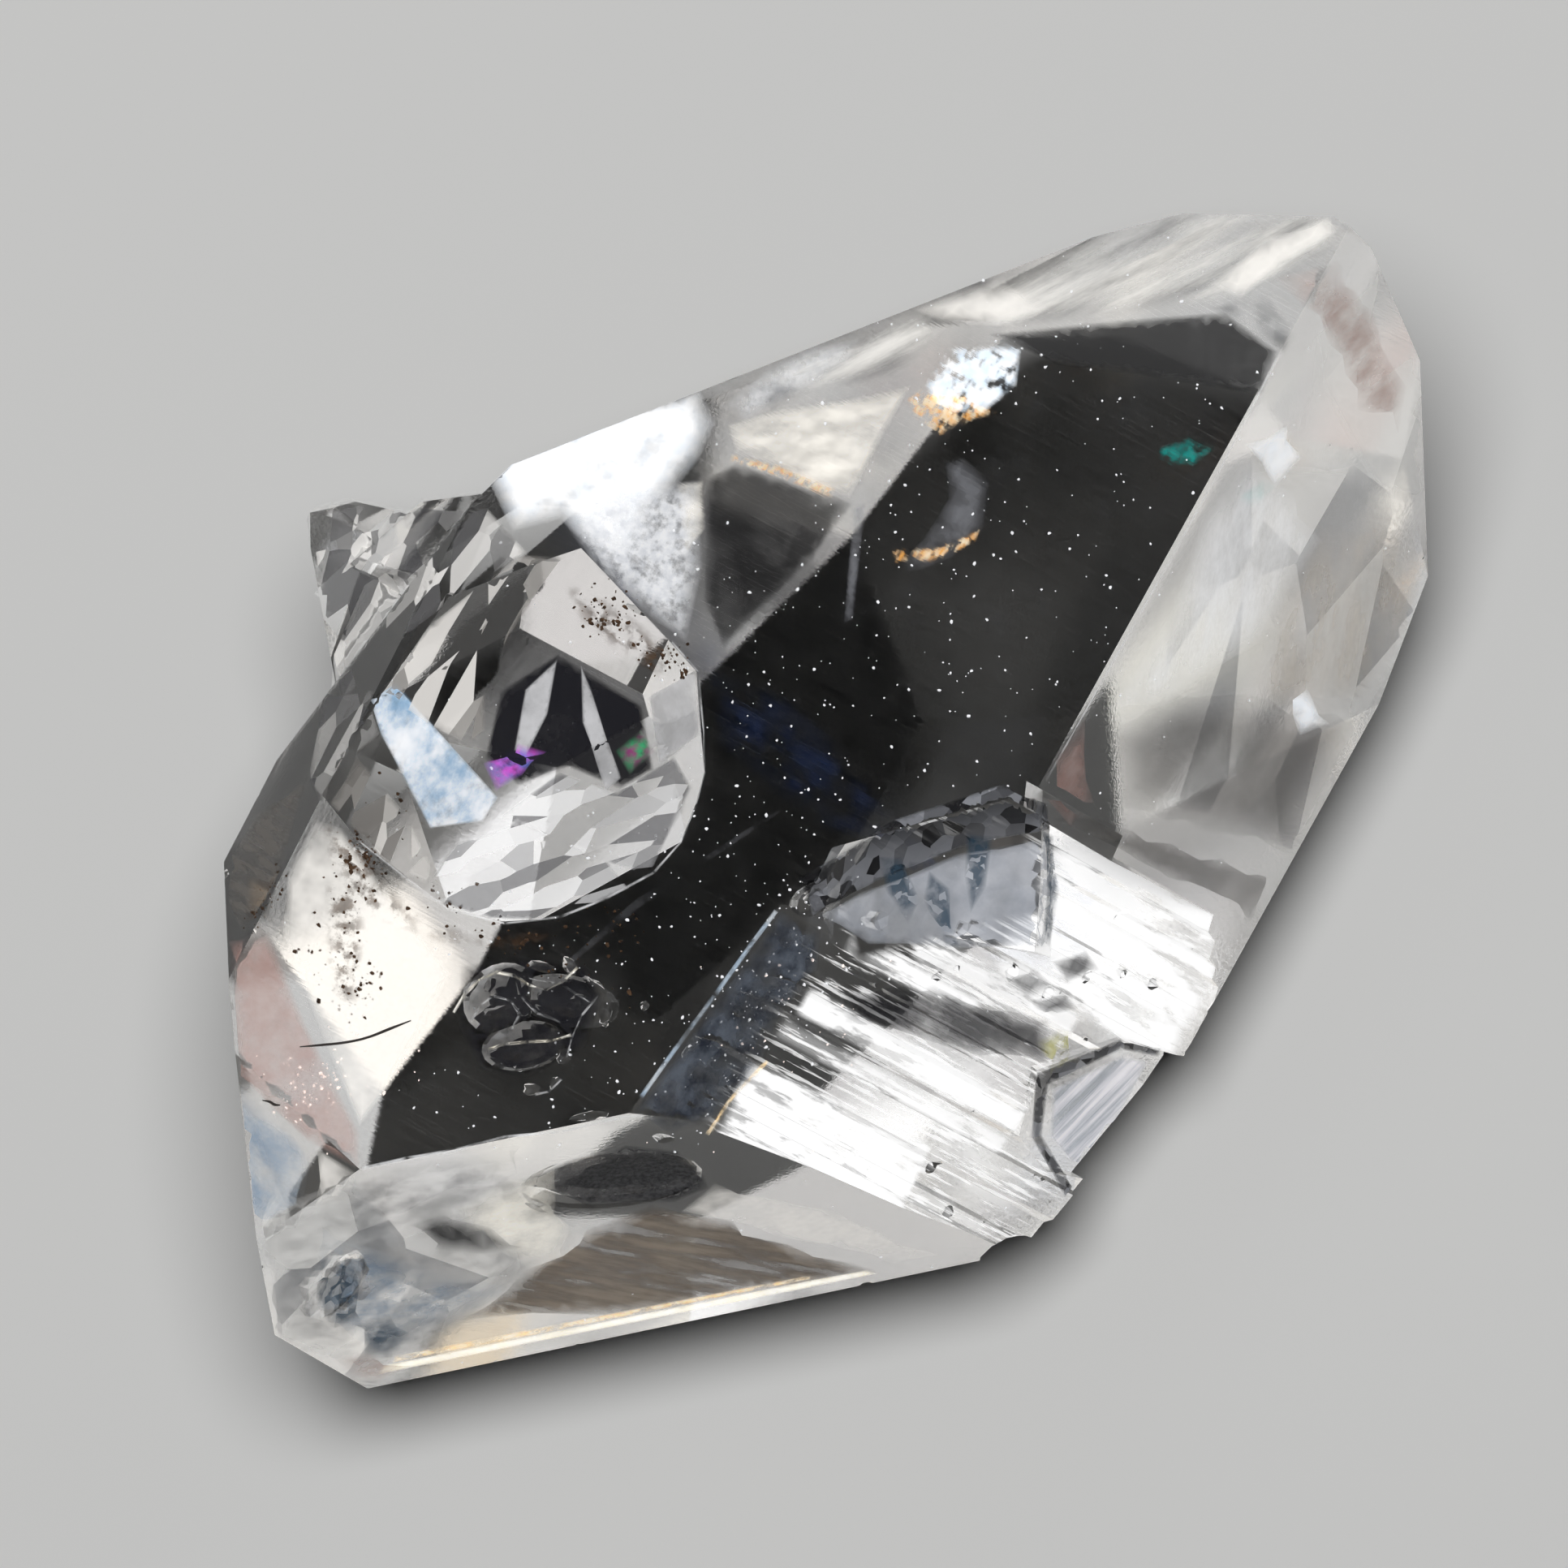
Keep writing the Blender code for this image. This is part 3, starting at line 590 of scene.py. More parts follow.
# each patch: its name, film, rim softness and outline in mm, and its height if it lies inside; a later one
# lies over an earlier one
patches = [
    # painted light over the bright left shoulder, on a milky veil
    ("milkyShoulder", "milky", 0.3, [(-5.02, 1.51), (-5.09, 0.86), (-5.1, 2.01), (-4.16, 3.23),
     (-3.14, 3.97), (-2.71, 3.64), (-2.66, 3.11), (-2.81, 2.27), (-2.77, 1.54), (-3.16, 1.32),
     (-3.88, 1.53), (-4.36, 1.08)]),
    ("bubblyShoulder", "bubbly", 0.25, [(-3.88, 1.53), (-3.44, 2.27), (-2.54, 2.89), (-1.93, 1.88),
     (-1.64, 0.92), (-2.24, 0.98), (-3.06, 1.14)]),
    ("beigeBlock", "creamInner", 0.06, [(-2.81, 2.71), (-2.5, 2.91), (-2.17, 2.36), (-2.24, 1.91)], 6.5),
    ("creamWedge", "creamInner", 0.1, [(-2.59, 3.71), (-2.09, 4.23), (-1.23, 4.88), (-0.71, 5.36),
     (-0.69, 3.64), (-1.22, 3.54), (-1.66, 3.56), (-2.31, 3.43)], 6.4),
    ("orangeRim", "orange", 0.05, [(-2.36, 3.4), (-1.67, 3.59), (-0.92, 3.66), (-0.9, 3.53), (-1.65, 3.43),
     (-2.33, 3.3)], 6.45),
    # a dark sheet inside: painted shade
    ("darkWedge", "smoke", 0.08, [(-2.5, 2.96), (-2.26, 3.33), (-1.6, 3.46), (-0.61, 3.64), (-0.74, 2.67),
     (-1.19, 1.07), (-1.73, 1.51)], 6.3),
    ("speckledSide", "bubbly", 0.25, [(-2.79, 3.84), (-2.44, 4.65), (-2.1, 5.14), (-1.6, 5.54),
     (-1.51, 5.16), (-1.98, 4.47), (-2.36, 3.84)]),
    ("sideSmudge", "softSmoke", 0.2, [(-3.17, 3.49), (-2.78, 4.16), (-2.26, 4.65), (-1.76, 4.63),
     (-2.05, 4.16), (-2.67, 3.52)]),
    # painted light and dark streaks at the upper end
    ("silhouetteGrey", "endStreaks", 0.25, [(-2.8, 4.2), (-1.15, 6.27), (-0.65, 6.25), (-0.85, 5.29),
     (-1.82, 4.62)]),
    ("upperStreaks", "endStreaks", 0.2, [(-1.24, 6.22), (0.59, 8.4), (1.18, 9.09), (2.98, 10.03),
     (3.31, 9.66), (3.05, 9.03), (2.28, 8.21), (1.25, 7.44), (0.02, 6.57)]),
    ("upperCream", "cream", 0.15, [(-1.17, 6.2), (-0.4, 7.12), (0.46, 7.11), (-0.08, 6.54), (-0.75, 6.22)]),
    ("upperStreakA", "cream", 0.12, [(2.07, 8.37), (2.42, 9.29), (3.02, 9.96), (3.23, 9.8), (2.81, 9.02),
     (2.54, 8.41)]),
    # painted lit and shaded facets at the tip and on the right face
    ("tipTint", "facetTint", 0.3, [(3, 9.12), (3.2, 10.07), (4.4, 9.66), (5.49, 8.68), (6.37, 7.21),
     (5.32, 7.12), (3.91, 7.92)]),
    ("rightTint", "facetTint", 0.35, [(3.75, 3.81), (3.62, 6.67), (5.12, 7.5), (6.57, 6.84), (6.99, 6.1),
     (7, 2.33), (3.92, 1.96)]),
    ("upperRose", "rose", 0.25, [(2.77, 8.87), (3.4, 9.49), (4.19, 9.17), (5.07, 8.57), (5.29, 7.96),
     (4.62, 7.95), (3.83, 8.49)]),
    ("upperDark", "softSmoke", 0.1, [(2.22, 8.11), (2.75, 8.68), (3.41, 8.38), (3.42, 8.04)]),
    # painted shade over the dark upper centre
    ("upperFill", "dark", 0.08, [(-0.17, 6.39), (1.18, 7.34), (2.43, 8.17), (3.32, 8.06), (3.39, 7.44),
     (2.11, 6.98), (0.81, 6.47)]),
    ("rightBeige", "beige", 0.4, [(4.57, 4.52), (4.97, 6.44), (6.13, 7.09), (6.84, 6.26), (6.67, 4.7),
     (5.46, 3.79)]),
    # painted shade on the lower right face
    ("rightLower", "greySmoke", 0.5, [(3.7, 2.57), (4.28, 3.5), (5.31, 4.07), (6.77, 4.51), (6.86, 2.37),
     (4.41, 1.74)]),
    ("rightFoot", "greySmoke", 0.16, [(3.67, 1.23), (4.17, 1.56), (6.88, 2.11), (6.79, 1.32)]),
    ("rightRose", "salmon", 0.15, [(3.4, 1.37), (3.3, 1.98), (3.4, 2.64), (4.09, 1.69), (3.97, 1.26)]),
    # painted glints on the right face
    ("rightGlintA", "milky", 0.14, [(3.5, 6.78), (3.88, 7.3), (4.28, 7.03), (4.16, 6.48)]),
    ("rightGlintB", "milky", 0.14, [(5.54, 4.2), (5.89, 4.45), (6.4, 4.19), (6.11, 3.84)]),
    # painted light over the bright part of the right face
    ("rightWhite", "softWhite", 0.35, [(3.6, 2.76), (3.73, 4.29), (3.48, 5.61), (3.62, 6.67), (4.39, 6.61),
     (5.07, 6.25), (5, 4.63), (4.29, 3.26)]),
    ("creamField", "cream", 0.12, [(-4.82, -3.47), (-4.76, -4.31), (-4.46, -5), (-3.23, -6.02),
     (-2.32, -6.74), (-2.22, -6.08), (-2.24, -4.38), (-3.12, -4.02), (-4.44, -3.4)]),
    ("salmonField", "salmon", 0.1, [(-5.02, -5.43), (-4.6, -5.08), (-3.52, -5.94), (-2.29, -6.78),
     (-2.05, -7.22), (-2.79, -7.24), (-4.02, -7.01)]),
    ("paleBlueField", "paleBlue", 0.12, [(-4.02, -7.13), (-3.03, -7.25), (-2.67, -7.42), (-2.43, -8.08),
     (-2.97, -8.68)]),
    ("whiteField", "cream", 0.08, [(-2.68, -7.24), (-2.07, -7.27), (-1.86, -7.58), (-2.33, -7.99)]),
    ("leftBars", "greyBars", 0.1, [(-5.63, -4.55), (-5.52, -3.76), (-5.16, -3.01), (-4.91, -4.03),
     (-4.69, -4.88), (-5.17, -5.27)]),
    ("clayGrime", "brownBars", 0.25, [(-5.24, -4.58), (-4.88, -4.26), (-4.61, -4.96), (-4.94, -5.12)]),
    ("leaf", "charcoal", 0.06, [(-0.18, -6.43), (0.29, -5.78), (0.85, -5.25), (1.5, -4.99), (1.92, -5.07),
     (2.1, -5.26), (1.8, -5.65), (0.8, -6.25)]),
    ("brownStain", "brownBars", 0.15, [(0.07, -8.46), (0.48, -7.44), (0.94, -6.51), (1.53, -5.82),
     (2.57, -5.49), (4.38, -5.24), (4.72, -5.2), (3.64, -6.11), (1.93, -7.42)]),
    # painted highlights along the lower edge, gold and white
    ("goldFringe", "gold", 0.03, [(-0.47, -9.45), (0.94, -8.27), (2.43, -7), (3.92, -5.74), (3.89, -5.67),
     (2.39, -6.92), (0.89, -8.18), (-0.49, -9.34)]),
    ("whiteFringe", "whiteGlow", 0.03, [(-0.56, -9.69), (0.99, -8.36), (2.48, -7.1), (3.98, -5.83),
     (4.68, -5.23), (4.51, -5.26), (3.92, -5.74), (2.43, -7), (0.94, -8.26), (-0.57, -9.54)]),
    ("lowerMurk", "softSmoke", 0.4, [(-2.88, -8.63), (-2.04, -7.07), (-0.32, -5.99), (0.65, -6.43),
     (0.61, -7.67), (-0.45, -9.72), (-1.87, -10.02)]),
    # painted lit and shaded facets at the lower end
    ("lowerTint", "facetTint", 0.3, [(-3.08, -8.5), (-1.99, -7.16), (-0.37, -5.9), (0.59, -7.2),
     (0.12, -8.55), (-0.68, -9.97), (-2.05, -10.12)]),
    ("lowerBlue", "paleBlue", 0.35, [(-2.38, -8.11), (-0.9, -8.02), (0.61, -7.67), (-0.2, -8.85),
     (-0.64, -9.59), (-1.51, -9.34)]),
    ("creamPatch", "creamGlow", 0.3, [(-0.73, -7.1), (-0.33, -6.42), (0.25, -5.83), (0.36, -6.29),
     (0.77, -6.61), (0.88, -7.06), (0.59, -7.42), (0.03, -7.38), (-0.43, -7.33)]),
    ("lowerSmudge", "dark", 0.18, [(-1.17, -7.59), (-0.85, -7.24), (-0.19, -7.11), (0.34, -7.15),
     (-0.09, -7.5), (-0.69, -7.74)]),
    ("lowerDeep", "shellBlue", 0.18, [(-1.24, -9.21), (-0.82, -8.83), (-0.38, -8.95), (-0.51, -9.39),
     (-0.83, -9.56)]),
    ("tipRose", "rose", 0.15, [(-1.2, -9.77), (-0.84, -9.45), (-0.18, -9.33), (-0.52, -9.81),
     (-0.95, -9.9)]),
    ("pitShade", "shellBlue", 0.1, [(-2.04, -8.78), (-1.82, -8.35), (-1.38, -8.47), (-1.09, -9.1),
     (-1.37, -9.38), (-1.73, -9.21)]),
    ("whiteFoot", "cream", 0.1, [(1.91, -5.73), (2.13, -5.15), (3.73, -4.73), (5.3, -4.59), (4.75, -5.03),
     (3.26, -5.41)]),
    # painted shade on the table of the small crystal
    ("tableDark", "black", 0.05, [(-3.22, -1.69), (-3.47, -0.8), (-3.04, -0.02), (-1.75, -0.07),
     (-1.21, -0.74), (-1.48, -1.18), (-2.21, -1.26), (-2.65, -1.78)]),
    # painted light on the blades over the table
    ("bladeA", "blade", 0.03, [(-2.93, -1.41), (-3.19, -0.64), (-3.01, -0.08), (-2.77, -0.78),
     (-2.75, -1.4)]),
    ("bladeB", "blade", 0.03, [(-2.72, 0.01), (-2.43, -0.22), (-1.53, -1.04), (-1.63, -1.31),
     (-2.33, -0.65)]),
    ("bladeC", "blade", 0.04, [(-1.75, 0.06), (-1.38, 0.7), (-0.91, -0.05), (-1.18, -0.67)]),
    # painted light in a bluish white band
    ("blueBand", "blueWhite", 0.04, [(-4.92, -1.75), (-4.7, -1.38), (-2.81, -2.04), (-2.84, -2.42),
     (-3.41, -2.84), (-4.56, -2.07)]),
    ("purpleGlint", "purple", 0.1, [(-3.21, -1.75), (-2.93, -1.29), (-2.54, -1.21), (-2.68, -1.64),
     (-2.88, -1.99)]),
    ("greenGlint", "green", 0.09, [(-1.78, -0.77), (-1.62, -0.36), (-1.31, -0.51), (-1.46, -0.96)]),
    # painted lit and shaded facets of the small crystal and the broken bits
    ("lowerBitsA", "crystalBits", 0.04, [(-3.11, -3.7), (-3.03, -2.87), (-2.44, -2.17), (-1.3, -2.03),
     (-0.74, -2.27), (-1.33, -3.08), (-2.18, -3.52)]),
    ("lowerBitsB", "crystalBits", 0.04, [(-2.72, -2.33), (-2.28, -1.36), (-1.5, -1.23), (-1.08, -0.45),
     (-0.67, -0.71), (-0.59, -2), (-1.25, -2.12), (-2.41, -2.22)]),
    ("smallFan", "fan", 0.06, [(-4.73, -3.2), (-4.71, -2.46), (-3.79, -2.8), (-2.81, -3.48),
     (-3.62, -3.56)]),
    ("smallFanTop", "fan", 0.06, [(-4.94, -1.61), (-4.7, -0.51), (-4.14, 0.9), (-3.53, 1.12), (-3.68, 0.06),
     (-3.64, -0.89), (-3.22, -1.64), (-3.94, -1.67)]),
    ("brokenBits", "shardBits", 0.06, [(-6.95, 0.14), (-6.04, 0.58), (-4.8, 1.21), (-4.05, 0.95),
     (-4.58, -0.07), (-5.01, -1.04), (-5.21, -2.01), (-6.06, -1.14)]),
    ("wallBits", "shardBits", 0.06, [(-5.55, -1.95), (-4.94, -1.61), (-4.56, -2.07), (-4.76, -2.61),
     (-4.73, -3.32), (-5.14, -3.06)]),
    # painted light on the chip's floor and dark cells along its rim
    ("chipHaze", "chipHaze", 0.08, [(1.56, -1.39), (1.94, -0.84), (2.81, 0.22), (3.74, 1.01), (4.2, 0.53),
     (4.47, -0.32), (3.43, -0.89), (2.37, -1.4)]),
    ("chipEdge", "chipRock", 0.04, [(1.14, -1.07), (1.85, 0.2), (2.88, 1.31), (3.55, 1.39), (3.77, 1.09),
     (2.94, 0.44), (2.13, -0.52), (1.54, -1.43)]),
    # painted shade in the shells of the chip
    ("shellA", "shellBlue", 0.07, [(1.9, -0.32), (2.19, -0.16), (2.69, -0.55), (2.71, -0.91),
     (2.24, -0.68)]),
    ("shellB", "shellBlue", 0.07, [(2.59, -0.14), (2.96, -0.22), (3.46, -0.83), (3.28, -0.95),
     (2.72, -0.53)]),
    ("shellC", "shellBlue", 0.07, [(2.78, 0.54), (3.13, 0.67), (3.38, 0.03), (3.37, -0.39), (3.05, 0.01)]),
    ("chipWall", "shellBlue", 0.05, [(3.62, 1.06), (3.83, 1.06), (4.27, 0.45), (4.53, -0.28), (4.4, -0.36),
     (4.1, 0.36)]),
    # painted shade in the pits of the striated face
    ("pitsA", "smoke", 0.09, [(4.18, -0.92), (4.49, -0.6), (4.85, -0.69), (4.61, -1.04)]),
    ("pitsB", "smoke", 0.09, [(4.63, -0.42), (4.98, -0.06), (5.29, -0.2), (4.96, -0.58)]),
    ("pitsC", "smoke", 0.09, [(4.62, -1.02), (5.01, -0.67), (5.28, -0.8), (4.91, -1.15)]),
    # painted shade in a band across the striated face
    ("darkBand", "smoke", 0.18, [(2.32, -2.07), (3.37, -1.45), (5.01, -1.11), (5.31, -1.65), (4.32, -2.06),
     (2.59, -2.46)]),
    # painted shade on the bevel and painted highlights along its edges
    ("bevelDark", "navy", 0.14, [(1.13, -1.55), (0.71, -4.82), (1.3, -4.85), (1.7, -4.4), (1.95, -3.6),
     (1.8, -2.9), (1.95, -2), (1.72, -1.52)]),
    ("bevelLine", "edgeWhite", 0.02, stroke([(1.09, -1.58), (1.02, -2.1), (0.92, -2.95), (0.85, -3.5),
     (0.78, -4.05), (0.72, -4.6)], 0.06)),
    ("goldEdge", "gold", 0.03, stroke([(1.72, -4.62), (1.76, -4.1), (1.84, -3.75), (1.95, -3.38)], 0.07)),
    ("yellowGreenSpot", "yellowGreen", 0.15, [(4.97, -1.48), (5.3, -0.98), (5.68, -1.33), (5.4, -1.8)]),
    # dark cells and painted light lines at the broken window
    ("windowRim", "chipRock", 0.04, [(5.18, -1.85), (5.98, -0.87), (6.56, -0.72), (6.58, -0.86),
     (6.08, -1.01), (5.44, -1.89), (5.7, -2.53), (6.47, -2.96), (6.38, -3.13), (5.57, -2.63)]),
    ("windowBits", "windowLines", 0.06, [(5.49, -1.92), (6.11, -1.07), (6.5, -0.94), (6.51, -2.82),
     (5.78, -2.49)]),
    ("clayStainA", "clayFilm", 0.2, [(-4.83, -3.32), (-4.17, -3.44), (-3.61, -3.68), (-2.94, -3.91),
     (-2.09, -3.69), (-1.18, -3.13), (-1.59, -3.71), (-2.57, -4.13), (-3.71, -4.28), (-4.42, -3.88)]),
    ("clayStainB", "clayFilm", 0.15, [(-3.5, 0.83), (-2.88, 0.93), (-2.16, 0.84), (-1.65, 0.7),
     (-1.69, 0.31), (-2.31, 0.34), (-2.98, 0.45)]),
    ("clayStainC", "clayFilm", 0.15, [(-4.28, -4.17), (-3.87, -3.89), (-3.47, -4.45), (-3.13, -5.31),
     (-3.37, -5.49), (-3.8, -5)]),
    # a rainbow crack inside with a painted glow and painted orange glints
    ("rainbowCore", "warmCore", 0.1, [(-0.57, 5.44), (-0.53, 6.02), (0.31, 6.54), (0.53, 6), (0.31, 5.5),
     (-0.2, 5.22)], 6.2),
    ("rainbowRim", "orange", 0.07, [(-0.68, 5.16), (-0.5, 5.54), (0.23, 5.64), (0.47, 5.59), (0.07, 5.16),
     (-0.05, 4.95), (-0.48, 5.02)], 6.15),
    # painted reflection in a crescent crack
    ("crescentCrack", "greyGlow", 0.16, [(0.29, 3.24), (0.41, 3.67), (0.44, 4.29), (0.16, 4.68),
     (0.36, 4.86), (0.82, 4.75), (1.06, 4.15), (0.85, 3.55), (0.46, 3.15)], 6),
    ("crescentRim", "orange", 0.03, [(0.12, 3.31), (0.66, 3.66), (1.01, 4.13), (1.05, 3.97), (0.74, 3.51),
     (0.24, 3.21)], 6.02),
    # a painted light line inside
    ("needleCrack", "greyGlow", 0.04, [(-0.62, 3.61), (-0.48, 3.71), (0.12, 2.27), (0.03, 2.17)], 5.5),
    ("tealGlint", "teal", 0.05, [(2.56, 6.22), (2.84, 6.54), (3.21, 6.58), (3.11, 6.28), (2.73, 6.08)], 5),
    # painted faint glow and blue streaks on sheets inside
    ("innerHaze", "faintHaze", 0.8, [(-0.68, 2.57), (-0.22, 6.12), (2.34, 7.66), (3.24, 7.8), (3.3, 4.17),
     (2.83, 1.72), (1.3, 0.75)], 4),
    ("innerBlue", "deepBlue", 0.35, [(-1.28, 0.78), (-0.28, 0.97), (1.64, 0.57), (2.95, 0.2), (0.97, -0.41),
     (-0.72, 0)], 1.4),
    ("frontScratch", "scratch", 0.03, [(-1.04, -3.59), (-0.62, -2.38), (0.47, -0.39), (0.52, -0.44),
     (-0.48, -2.41), (-0.96, -3.62)], 8.3),
    ("pitDark", "smoke", 0.12, [(-2.2, -4.23), (-1.57, -3.74), (-0.75, -3.41), (-0.32, -3.62),
     (-0.22, -4.38), (-0.69, -5.1), (-1.3, -5.32), (-1.86, -4.93)]),
    # painted highlights on the curls and rims of the front pit
    ("pitCurlA", "whiteGlow", 0.02, stroke([(-1.97, -4.82), (-1.96, -4.49), (-1.89, -4.26), (-1.75, -4.08),
     (-1.52, -4), (-1.27, -4.01), (-1.05, -3.97), (-0.91, -3.74), (-0.83, -3.5)], 0.045)),
    ("pitCurlB", "edgeGlow", 0.02, stroke([(-1.34, -3.94), (-0.93, -3.8), (-0.45, -3.83), (-0.48, -4.08),
     (-0.67, -4.26), (-1.01, -4.31), (-1.29, -4.2)], 0.04)),
    ("pitCurlC", "edgeGlow", 0.02, stroke([(-1.71, -4.84), (-1.72, -4.58), (-1.63, -4.38), (-1.39, -4.32),
     (-1.19, -4.43), (-1.2, -4.63)], 0.04)),
    ("pitLine", "whiteGlow", 0.02, stroke([(-1.36, -5.04), (-1.19, -4.86), (-0.93, -4.68), (-0.65, -4.51),
     (-0.47, -4.32)], 0.05)),
    ("pitDrip", "edgeGlow", 0.02, stroke([(-0.41, -3.68), (-0.47, -4.06), (-0.45, -4.36), (-0.37, -4.63),
     (-0.3, -4.89), (-0.37, -5.12), (-0.51, -5.25)], 0.035)),
    ("pitBubble", "edgeGlow", 0.015, stroke([(0.16, -3.51), (0.16, -3.4), (0.24, -3.4), (0.29, -3.46),
     (0.25, -3.53)], 0.03)),
    # painted highlights along edges
    ("smallRim", "edgeGlow", 0.02, stroke([(-1.84, 0.84), (-1.33, 0.66), (-0.9, 0.02), (-0.63, -0.45),
     (-0.52, -0.89), (-0.45, -1.41), (-0.56, -1.93), (-0.95, -2.54), (-1.35, -3.03), (-1.95, -3.46),
     (-2.68, -3.66), (-3.37, -3.57), (-4.15, -3.44)], 0.045)),
    ("frontEdge", "edgeGlow", 0.015, stroke([(3.32, 8.03), (3.37, 6.26), (3.37, 4.04),
     (3.35, 1.57)], 0.03)),
    ("lowFrontEdge", "edgeGlow", 0.02, stroke([(-2.04, -7.2), (-1.58, -6.79), (-1.08, -6.39), (-0.6, -5.93),
     (0.01, -5.49), (0.58, -4.98), (0.86, -4.78)], 0.05)),
]
for count, (name, look, soft, *form) in enumerate(patches):
    patch(name, filmMaterials[look], soft, patchFit["firstLift"] + count * patchFit["nextLift"], *form)
print("films ready", len(patches))


# frost: a streaked white skin on the striated face, with a painted glow that stands in for the bright light
# the face shows
frostLook = {
    "colour": (1.0, 1.0, 1.0, 1),
    "glow": 0.55,
    "lift": 0.004,  # mm off the facet
    "streaks": {"stretch": (0.13, 4.6, 1), "scale": 1.0, "low": 0.42, "high": 0.56, "detail": 7},
    "threads": {"stretch": (0.22, 15, 1), "scale": 1.0, "low": 0.52, "high": 0.6, "detail": 4},
    "threadZone": ((4.0, -1.9), (2.2, 2.8), 0.8),
    "threadCover": 0.7,
    "streakCover": (0.3, 0.7),  # between the streaks, and what a streak adds
    "leftEnd": 1.2,  # mm, the face's least x
    "yRange": (-4.9, 1.25),  # mm
    "top": 7.6,  # mm, its greatest z
    "alignment": 0.55,  # cosine between a facet and the striated face
}
# frosted parts of the striated face: centre, half size, soft rim, turn and strength
frostParts = [
    ((5.35, 0.15), (1.35, 1.05), 0.35, 0, 1.15), ((3.15, -4.05), (1.32, 0.62), 0.18, -4, 1.6),
    ((3.9, -2.45), (1.9, 0.17), 0.14, 0, 1.2), ((3.6, -2.92), (1.7, 0.12), 0.14, 0, 0.9),
    ((3.1, -1.48), (0.95, 0.13), 0.16, 0, 1.1), ((4.3, -1.05), (1.3, 0.2), 0.25, 0, 0.8),
    ((4.7, -3.35), (1.2, 0.4), 0.5, 0, 0.32), ((5, -4.2), (0.7, 0.35), 0.4, 0, 0.36),
]
# clear parts: the shell chip at the upper corner and the broken window at the rim
clearParts = [((2.85, -0.3), (1.3, 0.62), 0.2, -44), ((5.95, -1.85), (0.62, 0.95), 0.12, 0)]


# white frost skin whose painted glow stands in for bright light
def glowingFrost():
    material, tree, surface = newMaterial("striaGlowingFrost", {
        "Base Color": frostLook["colour"], "Roughness": 0.55, "IOR": 1.3,
        "Emission Color": frostLook["colour"], "Emission Strength": frostLook["glow"]})
    streaks = clouds(tree, **frostLook["streaks"])
    threads = clouds(tree, **frostLook["threads"])
    total = None
    for centre, half, soft, turn, weight in frostParts:
        part = times(tree, zone(tree, centre, half, soft, turn), weight)
        total = part if total is None else reckon(tree, "MAXIMUM", total, part)
    least, extra = frostLook["streakCover"]
    body = reckon(tree, "ADD", times(tree, streaks, extra), least)
    loose = times(tree, times(tree, threads, zone(tree, *frostLook["threadZone"])), frostLook["threadCover"])
    cover = reckon(tree, "ADD", times(tree, total, body), loose, use_clamp=True)
    hidden = nodeIn(tree, "ShaderNodeNewGeometry").outputs["Backfacing"]
    for part in clearParts:
        hidden = reckon(tree, "MAXIMUM", hidden, zone(tree, *part))
    tree.links.new(times(tree, cover, reckon(tree, "SUBTRACT", 1.0, hidden)), surface.inputs["Alpha"])
    return material


def isStriated(face):
    centre = face.calc_center_median()
    low, high = frostLook["yRange"]
    return (centre.x > frostLook["leftEnd"] and low < centre.y < high and centre.z < frostLook["top"]
            and face.normal.dot(facing(*gemLook["stria"])) > frostLook["alignment"])


def frostSkin():
    shape = bmesh.new()
    shape.from_mesh(gem.data)
    bmesh.ops.scale(shape, vec=(1 / snug, 1 / snug, 1 / snug), verts=shape.verts[:])
    bmesh.ops.split_edges(shape, edges=shape.edges[:])
    extra = [face for face in shape.faces if not isStriated(face)]
    bmesh.ops.delete(shape, geom=extra, context="FACES")
    for face in shape.faces:
        for vert in face.verts:
            vert.co += face.normal * frostLook["lift"]
    onCrystal(objectFrom("striaGlowingFrost", shape, glowingFrost()))


frostSkin()

# specks: white dust with a painted glow, brown clay and rose sparkle specks that paint glints, dropped on
# the surface; each spot has a centre, a spread and a share of the specks
specks = {
    "dust": {"count": 1100, "size": (0.007, 0.024), "seed": 21, "spots": [
        ((0.8, 3.5), (2.2, 3.2), 0.5), ((-0.2, -1.8), (1.4, 2.6), 0.3), ((0, 0), (5, 8), 0.2),
        ((1.5, -3), (0.35, 0.9), 0.16)]},
    "claySpecks": {"count": 620, "size": (0.009, 0.034), "seed": 8, "spots": [
        ((-3.95, -3.95), (0.22, 0.5), 0.34), ((-3.4, -5.15), (0.2, 0.28), 0.14),
        ((-4.8, -4.75), (0.1, 0.25), 0.1), ((-2.75, 0.75), (0.2, 0.2), 0.1),
        ((-1.85, 0.62), (0.22, 0.12), 0.12), ((-1.7, -3.6), (0.8, 0.16), 0.14),
        ((-0.7, -2.9), (0.3, 0.3), 0.06), ((-4.05, -3.62), (0.1, 0.1), 0.12)]},
    "sparkle": {"count": 150, "size": (0.01, 0.026), "seed": 31, "spots": [
        ((-3.15, -6.6), (0.3, 0.26), 0.5), ((-2.65, -5.75), (0.3, 0.2), 0.3),
        ((2, -2.6), (0.5, 1), 0.2)]},
}


speckForm = {"long": (0.8, 1.5), "flat": 0.6, "rough": 0.6, "fewLarge": 2.5}


